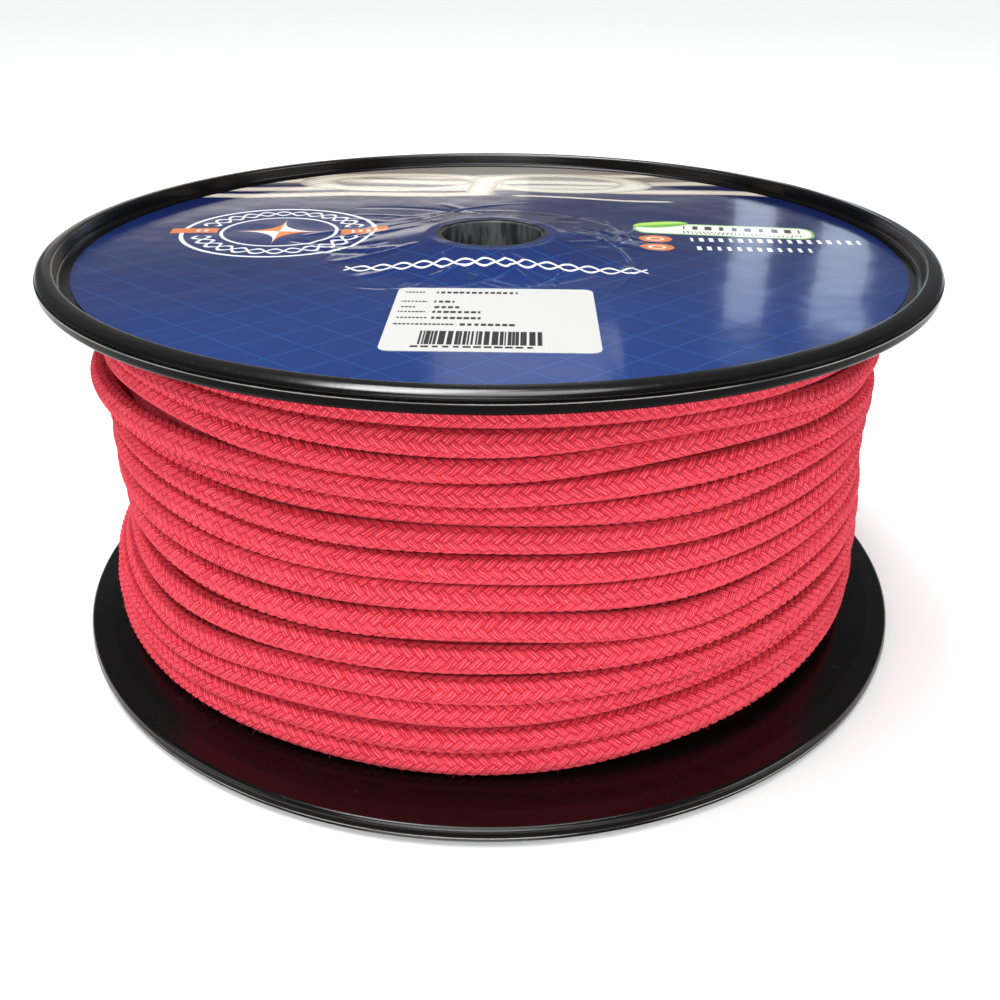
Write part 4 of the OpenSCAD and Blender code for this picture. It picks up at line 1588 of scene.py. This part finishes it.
# ---------------------------------------------------------------- tape over the rope's end
def build_end_tape():
    """A strip of clear brown packing tape pressed over the last turns at the back."""
    across = 70
    up = 90
    angles = np.linspace(167.0, 193.0, across + 1)
    heights = np.linspace(TAPE_LOW.z, TAPE_HIGH.z, up + 1)
    skin = np.zeros((across + 1, up + 1))
    for n in range(OUTER_TURNS):
        for lap in (0.0, -360.0):
            total = angles + 360.0 * n + lap
            if total.min() < LAY_ANGLES[0] or total.min() > LAY_ANGLES[-1]:
                continue
            total = np.clip(total, LAY_ANGLES[0], LAY_ANGLES[-1])
            h, r, w, t = lay_section(total)
            side = (heights[None, :] - h[:, None]) / (w[:, None] / 2)
            bulge = r[:, None] + t[:, None] / 2 * np.sqrt(np.clip(1 - side ** 2, 0, 1))
            skin = np.maximum(skin, np.where(np.abs(side) < 1, bulge, 0))
    skin = np.maximum(skin, MIDDLE_R + 1.0 * MM)
    for _ in range(6):
        padded = np.pad(skin, 1, mode="edge")
        mean = (padded[:-2, 1:-1] + padded[2:, 1:-1] + padded[1:-1, :-2] + padded[1:-1, 2:]) / 4
        skin = np.maximum(skin, mean)
    skin = skin + 0.22 * MM
    angle = np.radians(angles)[:, None]
    layers = []
    for lift in (0.12 * MM, 0.0):
        r = skin + lift
        layers.append(np.stack([
            r * np.sin(angle), -r * np.cos(angle), np.repeat(heights[None, :], across + 1, axis=0)], axis=-1))
    verts = np.concatenate([part.reshape(-1, 3) for part in layers])
    p = Pattern("packing_tape_film")
    x, y, z = p.source("Object")
    streak = p.noise(p.combine(x * 30.0, y * 30.0, z * 600.0), 1.0, 3.0)
    colour = p.blend(streak, (0.30, 0.17, 0.075), (0.42, 0.26, 0.13))
    p.set(Base_Color=colour, Roughness=streak * 0.12 + 0.12, Normal=p.bump(streak, 0.08 * MM, 0.5))
    mesh = mesh_from("end_tape_strip", verts, slab_quads(across + 1, up + 1))
    dress(new_object("end_tape_strip", mesh, p.material), "end_tape")


# ---------------------------------------------------------------- operators
class ROPEREEL_OT_stage(bpy.types.Operator):
    """Adds the camera, floor and soft lights"""

    bl_idname = "ropereel.stage"
    bl_label = "Studio"

    def execute(self, context):
        build_stage(context.scene.rope_reel_stage)
        return {"FINISHED"}


class ROPEREEL_OT_rope(bpy.types.Operator):
    """Winds the rope: the turns that show, the layers under them and the starting knot"""

    bl_idname = "ropereel.rope"
    bl_label = "Rope"

    def execute(self, context):
        opts = context.scene.rope_reel_rope
        yarn = rope_material(opts)
        turns = build_outer_rope(opts, yarn)
        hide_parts("rope_outer_layer")
        build_fuzz(opts, turns)
        layers = build_hidden_rope(opts, yarn)
        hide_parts("rope_inner_layers")
        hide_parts("rope_middle_layers")
        build_start_knot(opts, yarn)
        return {"FINISHED"}


class ROPEREEL_OT_reel(bpy.types.Operator):
    """Makes the flanges, barrel, arbor tube and fasteners"""

    bl_idname = "ropereel.reel"
    bl_label = "Reel"

    def execute(self, context):
        build_reel(context.scene.rope_reel_plastic)
        return {"FINISHED"}


class ROPEREEL_OT_labels(bpy.types.Operator):
    """Makes the printed film and the white stock label"""

    bl_idname = "ropereel.labels"
    bl_label = "Labels"

    def execute(self, context):
        build_labels(context.scene.rope_reel_label)
        return {"FINISHED"}


class ROPEREEL_OT_tape(bpy.types.Operator):
    """Presses a strip of tape over the free end of the rope"""

    bl_idname = "ropereel.tape"
    bl_label = "End Tape"

    def execute(self, context):
        build_end_tape()
        return {"FINISHED"}


class ROPEREEL_PT_panel(bpy.types.Panel):
    """Buttons and settings of the rope reel"""

    bl_label = "Rope Reel"
    bl_idname = "ROPEREEL_PT_panel"
    bl_space_type = "VIEW_3D"
    bl_region_type = "UI"
    bl_category = "Rope Reel"

    def draw(self, context):
        for heading, owner, operator in (
            ("Studio", context.scene.rope_reel_stage, "ropereel.stage"),
            ("Rope", context.scene.rope_reel_rope, "ropereel.rope"),
            ("Reel", context.scene.rope_reel_plastic, "ropereel.reel"),
            ("Labels", context.scene.rope_reel_label, "ropereel.labels"),
        ):
            box = self.layout.box()
            box.label(text=heading)
            for key in owner.__annotations__:
                box.prop(owner, key)
            box.operator(operator)
        self.layout.operator("ropereel.tape")


SETTINGS = (
    ("rope_reel_stage", RopeReelStage),
    ("rope_reel_rope", RopeReelRope),
    ("rope_reel_plastic", RopeReelPlastic),
    ("rope_reel_label", RopeReelLabel),
)
CLASSES = (
    RopeReelStage, RopeReelRope, RopeReelPlastic, RopeReelLabel,
    ROPEREEL_OT_stage, ROPEREEL_OT_rope, ROPEREEL_OT_reel, ROPEREEL_OT_labels, ROPEREEL_OT_tape,
    ROPEREEL_PT_panel,
)


def register():
    for cls in CLASSES:
        bpy.utils.register_class(cls)
    for name, group in SETTINGS:
        setattr(bpy.types.Scene, name, bpy.props.PointerProperty(type=group))


def unregister():
    for name, _ in SETTINGS:
        delattr(bpy.types.Scene, name)
    for cls in reversed(CLASSES):
        bpy.utils.unregister_class(cls)


def main():
    register()
    bpy.ops.ropereel.stage()
    bpy.ops.ropereel.rope()
    bpy.ops.ropereel.reel()
    bpy.ops.ropereel.labels()
    bpy.ops.ropereel.tape()


if __name__ == "__main__":
    main()
